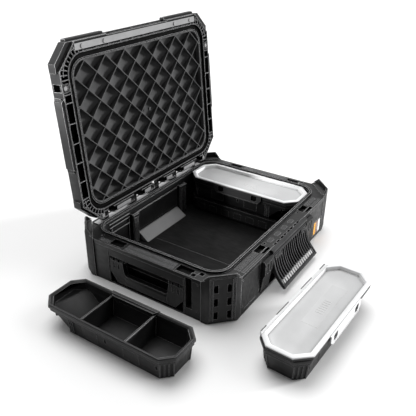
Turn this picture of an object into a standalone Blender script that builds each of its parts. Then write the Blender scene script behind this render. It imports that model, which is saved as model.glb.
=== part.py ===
"""Tool storage suitcase with lift-out bins, standing open.

World frame: origin on the floor under the middle of the case, +X along the hinge line,
-Y towards the front latch, +Z up.  Every length in this file is in millimetres; the
helpers turn it into metres.  The lid is drawn closed and then swung open about its hinge.
"""
import math

import bmesh
import bpy
from mathutils import Matrix, Vector

MM = 0.001
GAP = 0.3                     # air between neighbouring pieces

# --- case, plan -------------------------------------------------------------------------
CASE_X = 280.0                # half width over the flange
CASE_Y = 213.0                # half depth over the flange
FLANGE_LIP = 0.6              # flange overhang past the walls
SHELL_CHAMFER = 62.0          # corner cut of the base shell
GUARD_CHAMFER = 40.0          # corner cut over the corner guards
TONGUE_X, TONGUE_Y = 246.0, 176.0     # centre line of the sealing tongue, half sizes
TONGUE_HALF = 3.0
TONGUE_ROUND = 43.0
CAVITY_X, CAVITY_Y, CAVITY_ROUND = 240.0, 170.0, 32.0

# --- case, heights ----------------------------------------------------------------------
FLOOR_TOP = 4.0
FLANGE_LOW = 96.0
FLANGE_TOP = 106.5
REAR_TROUGH = 101.5           # lowered flange under the hinge
TONGUE_TOP = 111.7
GUARD_LEDGE = 111.0           # inner part of a corner guard
GUARD_TOP = 126.0             # thin outer lip of a corner guard
GUARD_LIP = 3.6
PARTING = 106.8               # lower face of the closed lid

# --- lid --------------------------------------------------------------------------------
LID_DEPTH = 31.0
LID_TOP = PARTING + LID_DEPTH
LID_SKIN = 3.0
LID_X, LID_Y = 279.0, 207.0   # half sizes of the crown
LID_LOW_X, LID_LOW_Y = 275.0, 206.0   # half sizes of the part that sits between the guards
CROWN_LOW = 112.5
LID_BACK_BEVEL = 5.0
LID_OPEN_DEG = 95.1
HINGE_Y, HINGE_Z = 196.4, 131.4
GROOVE_HALF = 5.7
GROOVE_TOP = 117.0
GROOVE_REAR = 190.0           # the groove is widened here so the lid can swing past the tongue
LATTICE_FACE = 110.6
LATTICE_PX, LATTICE_PY = 33.0, 31.7   # half diagonals of a lattice cell
LATTICE_ROW0 = -163.5
LATTICE_RIB = 3.6
LATTICE_DEEP = 14.0

# --- bins -------------------------------------------------------------------------------
BIN_X, BIN_Y, BIN_CHAMFER = 55.5, 167.5, 24.0
BIN_HIGH = 58.0
BIN_WALL = 2.4
BIN_LID_X, BIN_LID_Y, BIN_LID_CHAMFER = 57.5, 168.8, 29.0
BIN_LID_TOP = 66.0
BIN_FOLD_X = 49.5             # fold line of the bin lid, in from its hinge edge
CLIP_Y, CLIP_LOW = 73.5, 42.0

# --- handles ----------------------------------------------------------------------------
SIDE_AXIS_X, SIDE_AXIS_Z = 271.5, 66.0
SIDE_HALF = 103.0
LATCH_AXIS_Y, LATCH_AXIS_Z = -216.0, 88.0
LATCH_HALF = 90.0
LATCH_LENGTH = 82.0
LATCH_REST_DEG = 26.0         # hanging clear of the wall


# ======================================================================== scene helpers
def clear_scene():
    for obj in list(bpy.data.objects):
        bpy.data.objects.remove(obj, do_unlink=True)
    for old in list(bpy.data.collections):
        bpy.data.collections.remove(old)


clear_scene()
PARTS = bpy.data.collections.new("tool_storage_case")
CUTTERS = bpy.data.collections.new("cutters")
for new_collection in (PARTS, CUTTERS):
    bpy.context.scene.collection.children.link(new_collection)


def material(name, colour, rough, metal=0.0):
    mat = bpy.data.materials.get(name)
    if mat is None:
        mat = bpy.data.materials.new(name)
        mat.use_nodes = True
        shader = mat.node_tree.nodes["Principled BSDF"]
        shader.inputs["Base Color"].default_value = (*colour, 1.0)
        shader.inputs["Roughness"].default_value = rough
        shader.inputs["Metallic"].default_value = metal
    return mat


def black_plastic():
    return material("black_plastic", (0.022, 0.022, 0.024), 0.55)


def steel():
    return material("steel", (0.60, 0.60, 0.62), 0.32, 1.0)


def frosted_white():
    return material("frosted_white", (0.86, 0.87, 0.88), 0.35)


def rubber():
    return material("rubber", (0.012, 0.012, 0.013), 0.8)


def link(obj, collection):
    collection.objects.link(obj)
    return obj


def mesh_object(name, bm, collection=None):
    mesh = bpy.data.meshes.new(name)
    bmesh.ops.recalc_face_normals(bm, faces=bm.faces)
    bm.to_mesh(mesh)
    bm.free()
    return link(bpy.data.objects.new(name, mesh), collection or CUTTERS)


def box_into(bm, low, high):
    """Add a box between two corners, in mm, to bm."""
    size = [(b - a) * MM for a, b in zip(low, high)]
    middle = [(a + b) * MM / 2 for a, b in zip(low, high)]
    matrix = Matrix.Translation(middle) @ Matrix.Diagonal((*size, 1.0))
    bmesh.ops.create_cube(bm, size=1.0, matrix=matrix)


def rod_into(bm, axis, centre, radius, length, sides=20):
    """Add a round bar along 'X', 'Y' or 'Z' to bm."""
    turn = {
        "X": Matrix.Rotation(math.pi / 2, 4, "Y"),
        "Y": Matrix.Rotation(-math.pi / 2, 4, "X"),
        "Z": Matrix.Identity(4),
    }[axis]
    matrix = Matrix.Translation([c * MM for c in centre]) @ turn
    bmesh.ops.create_cone(
        bm, cap_ends=True, segments=sides, radius1=radius * MM, radius2=radius * MM,
        depth=length * MM, matrix=matrix,
    )


def boxes(name, pairs, collection=None):
    bm = bmesh.new()
    for low, high in pairs:
        box_into(bm, low, high)
    return mesh_object(name, bm, collection)


def rods(name, entries, collection=None):
    bm = bmesh.new()
    for entry in entries:
        rod_into(bm, *entry)
    return mesh_object(name, bm, collection)


def prism(name, points, low, high, plane="XY", collection=None):
    """A flat outline, drawn as a filled 2D curve and extruded, made a mesh.

    plane "XY" extrudes along Z, "YZ" takes (y, z) points and extrudes along X,
    "XZ" takes (x, z) points and extrudes along Y.
    """
    curve = bpy.data.curves.new(name, "CURVE")
    curve.dimensions = "2D"
    curve.fill_mode = "BOTH"
    curve.extrude = (high - low) / 2 * MM
    spline = curve.splines.new("POLY")
    spline.points.add(len(points) - 1)
    spline.use_cyclic_u = True
    for point, (a, b) in zip(spline.points, points):
        point.co = (a * MM, b * MM, 0.0, 1.0)
    middle = (low + high) / 2 * MM
    frames = {
        "XY": Matrix.Translation((0, 0, middle)),
        "YZ": Matrix(((0, 0, 1, middle), (1, 0, 0, 0), (0, 1, 0, 0), (0, 0, 0, 1))),
        "XZ": Matrix(((1, 0, 0, 0), (0, 0, -1, middle), (0, 1, 0, 0), (0, 0, 0, 1))),
    }
    source = link(bpy.data.objects.new(name + "_outline", curve), CUTTERS)
    bpy.context.view_layer.update()
    mesh = bpy.data.meshes.new_from_object(source.evaluated_get(bpy.context.evaluated_depsgraph_get()))
    bm = bmesh.new()
    bm.from_mesh(mesh)
    bmesh.ops.transform(bm, matrix=frames[plane], verts=bm.verts)
    bmesh.ops.remove_doubles(bm, verts=bm.verts, dist=1e-6)
    bpy.data.objects.remove(source)
    bpy.data.meshes.remove(mesh)
    return mesh_object(name, bm, collection)


def octagon(half_x, half_y, cut, rear_cut=None):
    """Corner-cut rectangle; rear_cut, where given, is the cut of the two +Y corners."""
    rear = cut if rear_cut is None else rear_cut
    return [
        (-half_x, -half_y + cut), (-half_x + cut, -half_y), (half_x - cut, -half_y),
        (half_x, -half_y + cut), (half_x, half_y - rear), (half_x - rear, half_y),
        (-half_x + rear, half_y), (-half_x, half_y - rear),
    ]


def rounded(half_x, half_y, radius, steps=5, low_y=None):
    """Rectangle with rounded corners; low_y, where given, is the -Y side's own position."""
    bottom = -half_y if low_y is None else low_y
    points = []
    for sx, cy, start in ((1, bottom + radius, -90), (1, half_y - radius, 0),
                          (-1, half_y - radius, 90), (-1, bottom + radius, 180)):
        for k in range(steps + 1):
            turn = math.radians(start + 90 * k / steps)
            centre_x = sx * (half_x - radius)
            points.append((centre_x + radius * math.cos(turn), cy + radius * math.sin(turn)))
    return points


def boolean(obj, cutter, how="DIFFERENCE", self_cut=False):
    cutter.hide_render = True
    cutter.display_type = "WIRE"
    mod = obj.modifiers.new(how.lower(), "BOOLEAN")
    mod.operation = how
    mod.object = cutter
    mod.use_self = self_cut
    return obj


def part(obj, mat, smooth=None):
    """Move a finished piece from the cutters to the parts and give it its material."""
    if obj.name in CUTTERS.objects:
        CUTTERS.objects.unlink(obj)
        PARTS.objects.link(obj)
    obj.data.materials.clear()
    obj.data.materials.append(mat)
    if smooth:
        obj.data.shade_smooth()
        obj.data.set_sharp_from_angle(angle=math.radians(smooth))
    return obj


def frame_at(name, location, turn_z=0.0, parent=None):
    """An empty that carries a moving body; its origin is on the body's joint."""
    empty = link(bpy.data.objects.new(name, None), PARTS)
    empty.location = [c * MM for c in location]
    empty.rotation_euler = (0.0, 0.0, math.radians(turn_z))
    if parent is not None:
        empty.parent = parent
    return empty


def carry(obj, empty, drawn_at):
    """Parent obj, drawn with the joint at drawn_at, and its cutters to the joint's empty."""
    obj.data.transform(Matrix.Translation([-c * MM for c in drawn_at]))
    obj.parent = empty
    for mod in obj.modifiers:
        if mod.type == "BOOLEAN":
            carry(mod.object, empty, drawn_at)
    return obj


# ============================================================================ base shell
def base_shell():
    wall = octagon(CASE_X - FLANGE_LIP, CASE_Y - FLANGE_LIP, SHELL_CHAMFER - 0.2)
    lip = octagon(CASE_X, CASE_Y, SHELL_CHAMFER)
    shell = prism("base_shell", wall, 0, FLANGE_TOP - 2)
    boolean(shell, prism("flange", lip, FLANGE_LOW, FLANGE_TOP), "UNION")
    outer = rounded(TONGUE_X + TONGUE_HALF, TONGUE_Y + TONGUE_HALF, TONGUE_ROUND)
    boolean(shell, prism("tongue", outer, FLANGE_TOP - 5, TONGUE_TOP), "UNION")
    well = rounded(TONGUE_X - TONGUE_HALF, TONGUE_Y - TONGUE_HALF, TONGUE_ROUND - 6)
    boolean(shell, prism("tongue_well", well, FLANGE_TOP, TONGUE_TOP + 10))
    cavity = rounded(CAVITY_X, CAVITY_Y, CAVITY_ROUND)
    boolean(shell, prism("cavity", cavity, FLOOR_TOP, FLANGE_TOP + 1))
    boolean(shell, boxes("hollows", hollows()))
    boolean(shell, boxes("recesses", recesses()))
    boolean(shell, boxes("pockets", flange_pockets()))
    boolean(shell, rods("flange_holes", flange_holes()))
    for sign in (-1, 1):
        boolean(shell, handle_bore(sign))
    return part(shell, black_plastic())


def hollows():
    """Cored-out spaces of the double walls, open to the underside."""
    skin = 3.0
    x_in, x_out = CAVITY_X + skin, CASE_X - FLANGE_LIP - skin
    y_in, y_out = CAVITY_Y + skin, CASE_Y - FLANGE_LIP - skin
    top = 90.0
    out = []
    for sign in (-1, 1):
        for y_low, y_high in ((-144.0, -116.0), (110.0, 144.0)):
            out.append(((min(sign * x_in, sign * x_out), y_low, -1),
                        (max(sign * x_in, sign * x_out), y_high, top)))
    out.append(((-206.0, y_in, -1), (206.0, y_out, top)))
    out.append(((-206.0, -y_out, -1), (-137.0, -y_in, top)))
    out.append(((137.0, -y_out, -1), (160.0, -y_in, top)))
    return out


LATCH_RECESS_X = 131.0
LATCH_RECESS_LOW, LATCH_RECESS_TOP = 5.0, 95.5
LATCH_RECESS_Y = -196.0
SIDE_RECESS_X = 257.0
SIDE_RECESS_LOW, SIDE_RECESS_TOP = 3.0, 76.0
WINDOW_X = (165.0, 219.0)
WINDOW_Z = (9.0, 51.0)
WINDOW_Y = -206.0


def recesses():
    """Front latch recess, both side handle recesses and the indicator window."""
    far = 400.0
    out = [((-LATCH_RECESS_X, -far, LATCH_RECESS_LOW),
            (LATCH_RECESS_X, LATCH_RECESS_Y, LATCH_RECESS_TOP)),
           ((WINDOW_X[0], -far, WINDOW_Z[0]), (WINDOW_X[1], WINDOW_Y, WINDOW_Z[1])),
           ((-250.0, 184.0, REAR_TROUGH), (250.0, far, FLANGE_TOP + 5))]
    for sign in (-1, 1):
        ends = sorted((sign * SIDE_RECESS_X, sign * far))
        out.append(((ends[0], -SIDE_HALF - 1.5, SIDE_RECESS_LOW),
                    (ends[1], SIDE_HALF + 1.5, SIDE_RECESS_TOP)))
    return out


def flange_pockets():
    low, high = 97.5, FLANGE_TOP + 1
    out = []
    for sign in (-1, 1):
        for y_low, y_high in ((68.0, 106.0), (-120.0, -80.0)):
            ends = sorted((sign * 252.0, sign * 275.0))
            out.append(((ends[0], y_low, low), (ends[1], y_high, high)))
    out.append(((-116.0, -198.0, low), (-88.0, -184.0, high)))
    out.append(((117.0, -198.0, low), (145.0, -184.0, high)))
    return out


def flange_holes():
    middle = FLANGE_TOP
    out = []
    for sign in (-1, 1):
        for x, y in ((257.0, 140.0), (268.0, -128.0), (258.0, -139.0)):
            out.append(("Z", (sign * x, y, middle), 3.2, 14.0, 12))
    for x in (-75.0, 103.0):
        out.append(("Z", (x, -187.0, middle), 3.2, 14.0, 12))
    return out


def handle_bore(sign):
    return rods(f"handle_bore_{sign}", [
        ("Y", (sign * SIDE_AXIS_X, 0, SIDE_AXIS_Z), 3.3, 2 * SIDE_HALF + 14.0, 12)])


# ======================================================================== corner guards
def corner_guard(name, sx, sy):
    """Raised guard over one cut corner, with six slots and two upright bars."""
    line = CASE_X + CASE_Y - SHELL_CHAMFER          # |x| + |y| on the shell's cut
    reach = GAP * math.sqrt(2) + 0.4
    x_out, y_out = CASE_X + 1.5, CASE_Y + 0.0
    outline = [
        (x_out, line + reach - x_out), (x_out, y_out - GUARD_CHAMFER),
        (x_out - GUARD_CHAMFER, y_out), (line + reach - y_out, y_out),
    ]
    points = [(sx * x, sy * y) for x, y in outline]
    if sx * sy < 0:
        points.reverse()
    guard = prism(name, points, 0.4, GUARD_TOP)
    guard_cut = boxes(name + "_slots", guard_slots())
    turn = math.atan2(sy, sx)
    centre = Vector((sx * (x_out - GUARD_CHAMFER / 2), sy * (y_out - GUARD_CHAMFER / 2), 0)) * MM
    guard_cut.matrix_world = Matrix.Translation(centre) @ Matrix.Rotation(turn, 4, "Z")
    slope = prism(name + "_slope", [
        (-40.0, FLANGE_TOP + 0.8), (-16.8, FLANGE_TOP + 0.8), (-9.0, GUARD_LEDGE),
        (-GUARD_LIP, GUARD_LEDGE), (-GUARD_LIP, GUARD_TOP + 20.0),
        (-40.0, GUARD_TOP + 20.0)], -70.0, 70.0, "XZ")
    slope.matrix_world = guard_cut.matrix_world.copy()
    boolean(guard, slope)
    boolean(guard, guard_cut)
    return part(guard, black_plastic())


def guard_slots():
    """Six upright slots, drawn with the corner's outward direction along +X."""
    out = []
    for y in (-14.5, 14.5):
        for row in range(3):
            low = 15.5 + 34.0 * row
            out.append(((-5.0, y - 3.3, low), (10.0, y + 3.3, low + 19.0)))
    return out


# ==================================================================== small base pieces
def floor_mats():
    """Two textured mats that meet on a seam across the case floor."""
    seam = -70.0
    bottom, top = FLOOR_TOP + GAP, FLOOR_TOP + 2.4
    inset = 1.2
    whole = rounded(CAVITY_X - inset, CAVITY_Y - inset, CAVITY_ROUND - inset)
    mats = []
    for name, x_low, x_high in (("floor_mat_small", -400, seam - GAP / 2),
                                ("floor_mat_large", seam + GAP / 2, 400)):
        mat = prism(name, whole, bottom, top)
        keep = boxes(name + "_keep", [((x_low, -400, 0), (x_high, 400, 30))])
        boolean(mat, keep, "INTERSECT")
        mats.append(part(mat, rubber()))
    return mats


def rear_wedge():
    """Sloping fillet between the floor and the rear wall."""
    low = FLOOR_TOP + 2.4 + GAP
    side = CAVITY_Y - GAP
    profile = [(137.0, low), (side, low), (side, 29.0), (side - 4.0, 29.0), (137.0, low + 1.2)]
    wedge = prism("rear_wedge", profile, -100.0, 72.0, "YZ")
    return part(wedge, material("satin_grey", (0.16, 0.16, 0.165), 0.42))


def indicator_pieces():
    """Three coloured bars in a bezel on the front wall."""
    bars = (("indicator_yellow", 170.0, 181.0, (0.93, 0.55, 0.05)),
            ("indicator_rose", 184.0, 194.0, (0.62, 0.42, 0.36)),
            ("indicator_white", 197.0, 210.0, (0.88, 0.88, 0.88)))
    back = WINDOW_Y - GAP
    low, high = WINDOW_Z[0] + 3.0, WINDOW_Z[1] - 3.0
    bezel = boxes("indicator_bezel", [
        ((WINDOW_X[0] + GAP, back - 6.0, WINDOW_Z[0] + GAP),
         (WINDOW_X[1] - GAP, back, WINDOW_Z[1] - GAP))])
    seats = [((x0 - GAP, back - 9.0, low - GAP), (x1 + GAP, back - 3.0, high + GAP))
             for _, x0, x1, _ in bars]
    boolean(bezel, boxes("indicator_seats", seats))
    part(bezel, black_plastic())
    for name, x0, x1, colour in bars:
        bar = boxes(name, [((x0, back - 6.6, low), (x1, back - 3.0 - GAP, high))])
        part(bar, material(name + "_lens", colour, 0.25))


# =============================================================================== hinges
TOWERS = (("hinge_tower_far_left", -190.0, 18.0), ("hinge_tower_left", -88.0, 30.0),
          ("hinge_tower_centre", 0.0, 44.0),
          ("hinge_tower_right", 88.0, 30.0), ("hinge_tower_far_right", 190.0, 18.0))
TOWER_RADIUS = 5.6
KNUCKLE_WIDE = 11.0
PIN_RADIUS = 2.6
PLATE_THICK = 2.4


def tower_profile():
    """Side view of a hinge tower: a foot on the rear flange and a round head."""
    foot = REAR_TROUGH + PLATE_THICK + 2 * GAP
    arc = [(HINGE_Y + TOWER_RADIUS * math.cos(math.radians(a)),
            HINGE_Z + TOWER_RADIUS * math.sin(math.radians(a))) for a in range(0, 181, 30)]
    return arc + [(HINGE_Y - TOWER_RADIUS, foot), (HINGE_Y + TOWER_RADIUS + 5.0, foot),
                  (HINGE_Y + TOWER_RADIUS + 5.0, foot + 5.0), (HINGE_Y + TOWER_RADIUS, foot + 12.0)]


def hinge_set():
    plate = boxes("hinge_plate", [((-222.0, 185.5, REAR_TROUGH + GAP),
                                   (222.0, 203.0, REAR_TROUGH + GAP + PLATE_THICK))])
    part(plate, steel())
    for name, x, wide in TOWERS:
        tower = prism(name, tower_profile(), x - wide / 2, x + wide / 2, "YZ")
        boolean(tower, rods(name + "_bore", [
            ("X", (x, HINGE_Y, HINGE_Z), PIN_RADIUS + GAP, wide + 4.0, 16)]))
        part(tower, black_plastic())
        pin = rods(name.replace("tower", "pin"), [
            ("X", (x, HINGE_Y, HINGE_Z), PIN_RADIUS, wide + 2 * KNUCKLE_WIDE - 2.0, 16)])
        part(pin, steel(), 40)


# ================================================================================== lid
def crown_line():
    """Outline of the upper part of the lid; its rear corners clear the base guards."""
    x, y, cut = LID_X, LID_Y, GUARD_CHAMFER - 2
    right = [(x - cut, -y), (x, -y + cut), (x, 157.0), (x - cut - 2.0, 197.0), (212.0, y)]
    return right + [(-a, b) for a, b in reversed(right)]


def lid_pieces():
    """Everything that swings with the lid, drawn closed."""
    swing = frame_at("lid_swing", (0, HINGE_Y, HINGE_Z))
    swing.rotation_euler = (-math.radians(LID_OPEN_DEG), 0, 0)
    for piece in [lid_shell(), lid_lattice(), lid_seal(), *lid_strip(), *lid_side_screws()]:
        carry(piece, swing, (0, HINGE_Y, HINGE_Z))
    return swing


def lid_shell():
    lid = prism("lid_shell", octagon(LID_LOW_X, LID_LOW_Y, LID_LOW_X + LID_LOW_Y - 428.5),
                PARTING, CROWN_LOW + 2)
    crown = prism("lid_crown", crown_line(), CROWN_LOW, LID_TOP)
    bevel_top(crown)
    boolean(lid, crown, "UNION")
    boolean(lid, boxes("side_bands", [
        ((sign * 282.0 if sign < 0 else 270.0, -98.0, 109.0),
         (-270.0 if sign < 0 else 282.0, 69.0, LID_TOP - 5.0)) for sign in (-1, 1)]), "UNION")
    inner = rounded(CAVITY_X - 3, CAVITY_Y - 3, CAVITY_ROUND + 5)
    boolean(lid, prism("lid_well", inner, 90, LID_TOP - LID_SKIN))
    boolean(lid, groove_cutter())
    inside = rounded(TONGUE_X - GROOVE_HALF + 0.1, TONGUE_Y - GROOVE_HALF + 0.1, TONGUE_ROUND - 6)
    boolean(lid, prism("lid_inside", inside, 90, LATTICE_FACE))
    boolean(lid, boxes("tower_notches", tower_notches()))
    boolean(lid, boxes("lid_cores", lid_cores()))
    boolean(lid, rods("pin_bores", [
        ("X", (x, HINGE_Y, HINGE_Z), PIN_RADIUS + GAP, wide + 2 * KNUCKLE_WIDE, 16)
        for _, x, wide in TOWERS]))
    boolean(lid, boxes("strip_seat", [
        ((-222.0, -LID_Y - 5, PARTING - 5), (222.0, -186.0, STRIP_SEAT))]))
    boolean(lid, rods("side_seats", [
        ("Z", (sign * 265.0, -118.0, PARTING), 5.2, 4.4, 16) for sign in (-1, 1)]))
    boolean(lid, rods("screw_bores", [
        ("Z", (x, -193.5, PARTING + 6), 2.3, 12.0, 12) for x in STRIP_SCREWS] + [
        ("Z", (sign * 265.0, -118.0, PARTING + 3), 2.3, 14.0, 12) for sign in (-1, 1)]))
    return part(lid, black_plastic())


def bevel_top(obj):
    """Slope the edges of the upper face of a prism."""
    bm = bmesh.new()
    bm.from_mesh(obj.data)
    top = max(v.co.z for v in bm.verts)
    edges = [e for e in bm.edges
             if all(abs(v.co.z - top) < 1e-6 for v in e.verts)
             and any(abs(f.normal.z) < 0.5 for f in e.link_faces)]
    bmesh.ops.bevel(bm, geom=edges, offset=LID_BACK_BEVEL * MM, segments=1, affect="EDGES")
    bm.to_mesh(obj.data)
    bm.free()


def groove_cutter():
    """Ring-shaped groove for the seal, wide at the rear."""
    outer = rounded(TONGUE_X + GROOVE_HALF, GROOVE_REAR, TONGUE_ROUND + 3,
                    low_y=-(TONGUE_Y + GROOVE_HALF))
    ring = prism("groove", outer, PARTING - 5, GROOVE_TOP)
    core = rounded(TONGUE_X - GROOVE_HALF, TONGUE_Y - GROOVE_HALF, TONGUE_ROUND - 6)
    return boolean(ring, prism("groove_core", core, PARTING - 20, GROOVE_TOP + 20))


def tower_notches():
    """The lid's rear wall is open where a tower stands, so it can swing past it."""
    return [((x - wide / 2 - 0.7, 188.5, 80), (x + wide / 2 + 0.7, 300, 200))
            for _, x, wide in TOWERS]


def lid_cores():
    """Hollows between the outer wall and the seal groove, and between the hinge knuckles."""
    top = LID_TOP - LID_SKIN - 1.0
    out = []
    for sign in (-1, 1):
        ends = sorted((sign * 255.5, sign * 271.5))
        for low, high in ((-108.0, -62.0), (-58.0, -2.0), (2.0, 58.0), (62.0, 118.0)):
            out.append(((ends[0], low, 90), (ends[1], high, top)))
    right = [(x + wide / 2, x - wide / 2) for _, x, wide in TOWERS if x >= 0]
    for (edge, _), (_, after) in zip(right, right[1:]):
        low, high = edge + KNUCKLE_WIDE + 1.0, after - KNUCKLE_WIDE - 1.0
        for x_low, x_high in ((low, high), (-high, -low)):
            out.append(((x_low, 193.5, 90), (x_high, 203.5, top)))
    return out


def lid_lattice():
    """Diagonal lattice liner: a panel with one scooped pocket to each diamond."""
    half_x, half_y = CAVITY_X - 3.6, CAVITY_Y - 3.6
    deep = LATTICE_FACE + LATTICE_DEEP
    panel = prism("lid_lattice", rounded(half_x, half_y, CAVITY_ROUND + 4),
                  LATTICE_FACE, deep + 2.0)
    bm = bmesh.new()
    for x, y in lattice_cells():
        if abs(x) > half_x - 14 or abs(y) > half_y - 14:
            continue
        shrink = 1 - LATTICE_RIB / 2 * math.hypot(1 / LATTICE_PX, 1 / LATTICE_PY)
        matrix = (Matrix.Translation((x * MM, y * MM, (LATTICE_FACE + deep - 2) / 2 * MM))
                  @ Matrix.Diagonal((LATTICE_PX * shrink, LATTICE_PY * shrink, 1, 1)))
        bmesh.ops.create_cone(bm, cap_ends=True, segments=4, radius1=MM, radius2=0.86 * MM,
                              depth=(LATTICE_DEEP + 2) * MM, matrix=matrix)
    cells = mesh_object("lattice_cells", bm)
    keep = prism("lattice_keep", rounded(half_x - 3, half_y - 3, CAVITY_ROUND + 1), 0, 300)
    boolean(cells, keep, "INTERSECT")
    boolean(panel, cells)
    return part(panel, black_plastic())


def lattice_cells():
    """Centres of the diamond cells: lattice nodes lie at odd i + j, cells at even i + j."""
    for j in range(-1, 12):
        for i in range(-1, 16):
            if (i + j) % 2 == 0:
                yield (i - 7) * LATTICE_PX, LATTICE_ROW0 + j * LATTICE_PY


def lid_seal():
    ring = prism("lid_seal", rounded(TONGUE_X + 3.4, TONGUE_Y + 3.4, TONGUE_ROUND),
                 TONGUE_TOP + GAP, GROOVE_TOP - GAP)
    core = rounded(TONGUE_X - 3.4, TONGUE_Y - 3.4, TONGUE_ROUND - 6.8)
    boolean(ring, prism("seal_core", core, 80, 150))
    return part(ring, rubber())


STRIP_SCREWS = (-199.0, -130.5, 130.5, 199.0)
STRIP_SEAT = PARTING + 5.0


def screw(name, x, y, seat, head=4.6, high=1.6, shank=2.0, long=9.0):
    """Pan-head screw pointing up into the lid, head below the seat face."""
    pin = rods(name, [("Z", (x, y, seat + long / 2), shank, long, 12)])
    cap = rods(name + "_head", [("Z", (x, y, seat - high / 2 + 0.05), head, high + 0.1, 20)])
    boolean(pin, cap, "UNION")
    return part(pin, steel(), 40)


def lid_strip():
    """Steel strike strip along the lid's front lip, with its four screws."""
    low, high = STRIP_SEAT - 2.6, STRIP_SEAT - GAP
    strip = boxes("strike_strip", [((-220.5, -201.0, low), (220.5, -187.5, high))])
    boolean(strip, rods("strip_bores", [
        ("Z", (x, -193.5, PARTING), 2.4, 20.0, 12) for x in STRIP_SCREWS]))
    part(strip, steel())
    screws = [screw(f"strip_screw_{k + 1}", x, -193.5, low - GAP)
              for k, x in enumerate(STRIP_SCREWS)]
    return [strip, *screws]


def lid_side_screws():
    names = ("lid_screw_left", "lid_screw_right")
    return [screw(name, sign * 265.0, -118.0, PARTING + 2.2 - GAP, 4.4, 1.4, 2.0, 8.0)
            for name, sign in zip(names, (-1, 1))]


# ========================================================================= side handles
def side_handle(name, sign):
    """Wide U handle hanging in its recess, knuckles on the axis at its top."""
    bottom = 8.0
    arm = 38.0
    inner = SIDE_HALF - arm
    outline = [
        (-SIDE_HALF, SIDE_AXIS_Z), (-SIDE_HALF, bottom + 22), (-SIDE_HALF + 22, bottom),
        (SIDE_HALF - 22, bottom), (SIDE_HALF, bottom + 22), (SIDE_HALF, SIDE_AXIS_Z),
        (inner, SIDE_AXIS_Z), (inner, 38.0), (inner - 5, 33.0), (-inner + 5, 33.0),
        (-inner, 38.0), (-inner, SIDE_AXIS_Z),
    ]
    x_in, x_out = SIDE_AXIS_X - 5.0, SIDE_AXIS_X + 8.0
    low, high = sorted((sign * x_in, sign * x_out))
    handle = prism(name, outline, low, high, "YZ")
    knuckles = rods(name + "_knuckles", [
        ("Y", (sign * SIDE_AXIS_X, s * (SIDE_HALF - arm / 2), SIDE_AXIS_Z), 7.6, arm, 20)
        for s in (-1, 1)])
    boolean(handle, knuckles, "UNION")
    grip_low, grip_high = sorted((sign * (x_in - 2.5), sign * (x_out + 2.0)))
    grip = boxes(name + "_grip", [((grip_low, -60.0, bottom + 0.5), (grip_high, 60.0, 32.0))])
    boolean(handle, grip, "UNION")
    boolean(handle, rods(name + "_bore", [
        ("Y", (sign * SIDE_AXIS_X, 0, SIDE_AXIS_Z), PIN_RADIUS + GAP, 2 * SIDE_HALF + 8, 16)]))
    part(handle, black_plastic())
    swing = frame_at(name + "_swing", (sign * SIDE_AXIS_X, 0, SIDE_AXIS_Z))
    carry(handle, swing, (sign * SIDE_AXIS_X, 0, SIDE_AXIS_Z))
    for tag, s in (("rear", 1), ("front", -1)):
        middle = s * (SIDE_HALF - arm / 2)
        pin = rods(f"{name}_pin_{tag}", [
            ("Y", (sign * SIDE_AXIS_X, middle, SIDE_AXIS_Z), PIN_RADIUS, arm + 8.0, 16)])
        part(pin, steel(), 40)


# ========================================================================= front latch
def latch_profile_point(s):
    """Point (out, down) on the latch panel's curved face, s from 0 at the axis to 1."""
    length = LATCH_LENGTH
    return (-4.5 * math.sin(math.pi * s), -length * s)


def front_latch():
    """Comb-ribbed latch lever, drawn hanging straight down, then swung out."""
    axis = (0, LATCH_AXIS_Y, LATCH_AXIS_Z)
    y0, z0 = LATCH_AXIS_Y, LATCH_AXIS_Z
    steps = 6
    outer = [latch_profile_point(k / steps) for k in range(steps + 1)]
    face = [(y0 - 3.0 + dy, z0 + dz) for dy, dz in outer]
    back = [(y + 6.0, z) for y, z in reversed(face)]
    latch = prism("front_latch", face + back, -LATCH_HALF, LATCH_HALF, "YZ")
    count = 22
    pitch = (2 * LATCH_HALF - 12) / count
    slots = []
    for k in range(count):
        x = -LATCH_HALF + 6 + pitch * (k + 0.5)
        slots.append(((x - pitch * 0.28, y0 - 40, z0 - LATCH_LENGTH + 6),
                      (x + pitch * 0.28, y0 + 40, z0 - LATCH_LENGTH + 17)))
    boolean(latch, boxes("latch_windows", slots))
    head = rods("latch_head", [("X", (0, y0, z0), 5.6, 2 * LATCH_HALF, 20)])
    boolean(latch, head, "UNION")
    lip = rods("latch_lip", [("X", (0, y0 - 3.0, z0 - LATCH_LENGTH), 4.6, 2 * LATCH_HALF, 16)])
    boolean(latch, lip, "UNION")
    boolean(latch, rods("latch_pin_bore", [
        ("X", (0, y0, z0), PIN_RADIUS + GAP, 2 * LATCH_HALF + 20, 16)]))
    part(latch, black_plastic())
    swing = frame_at("front_latch_swing", axis)
    swing.rotation_euler = (-math.radians(LATCH_REST_DEG), 0, 0)
    carry(latch, swing, axis)
    for tag, sign in (("left", -1), ("right", 1)):
        latch_cheek(tag, sign)
    pin = rods("front_latch_pin", [("X", axis, PIN_RADIUS, 2 * LATCH_HALF + 40.0, 16)])
    part(pin, steel(), 40)


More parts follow.
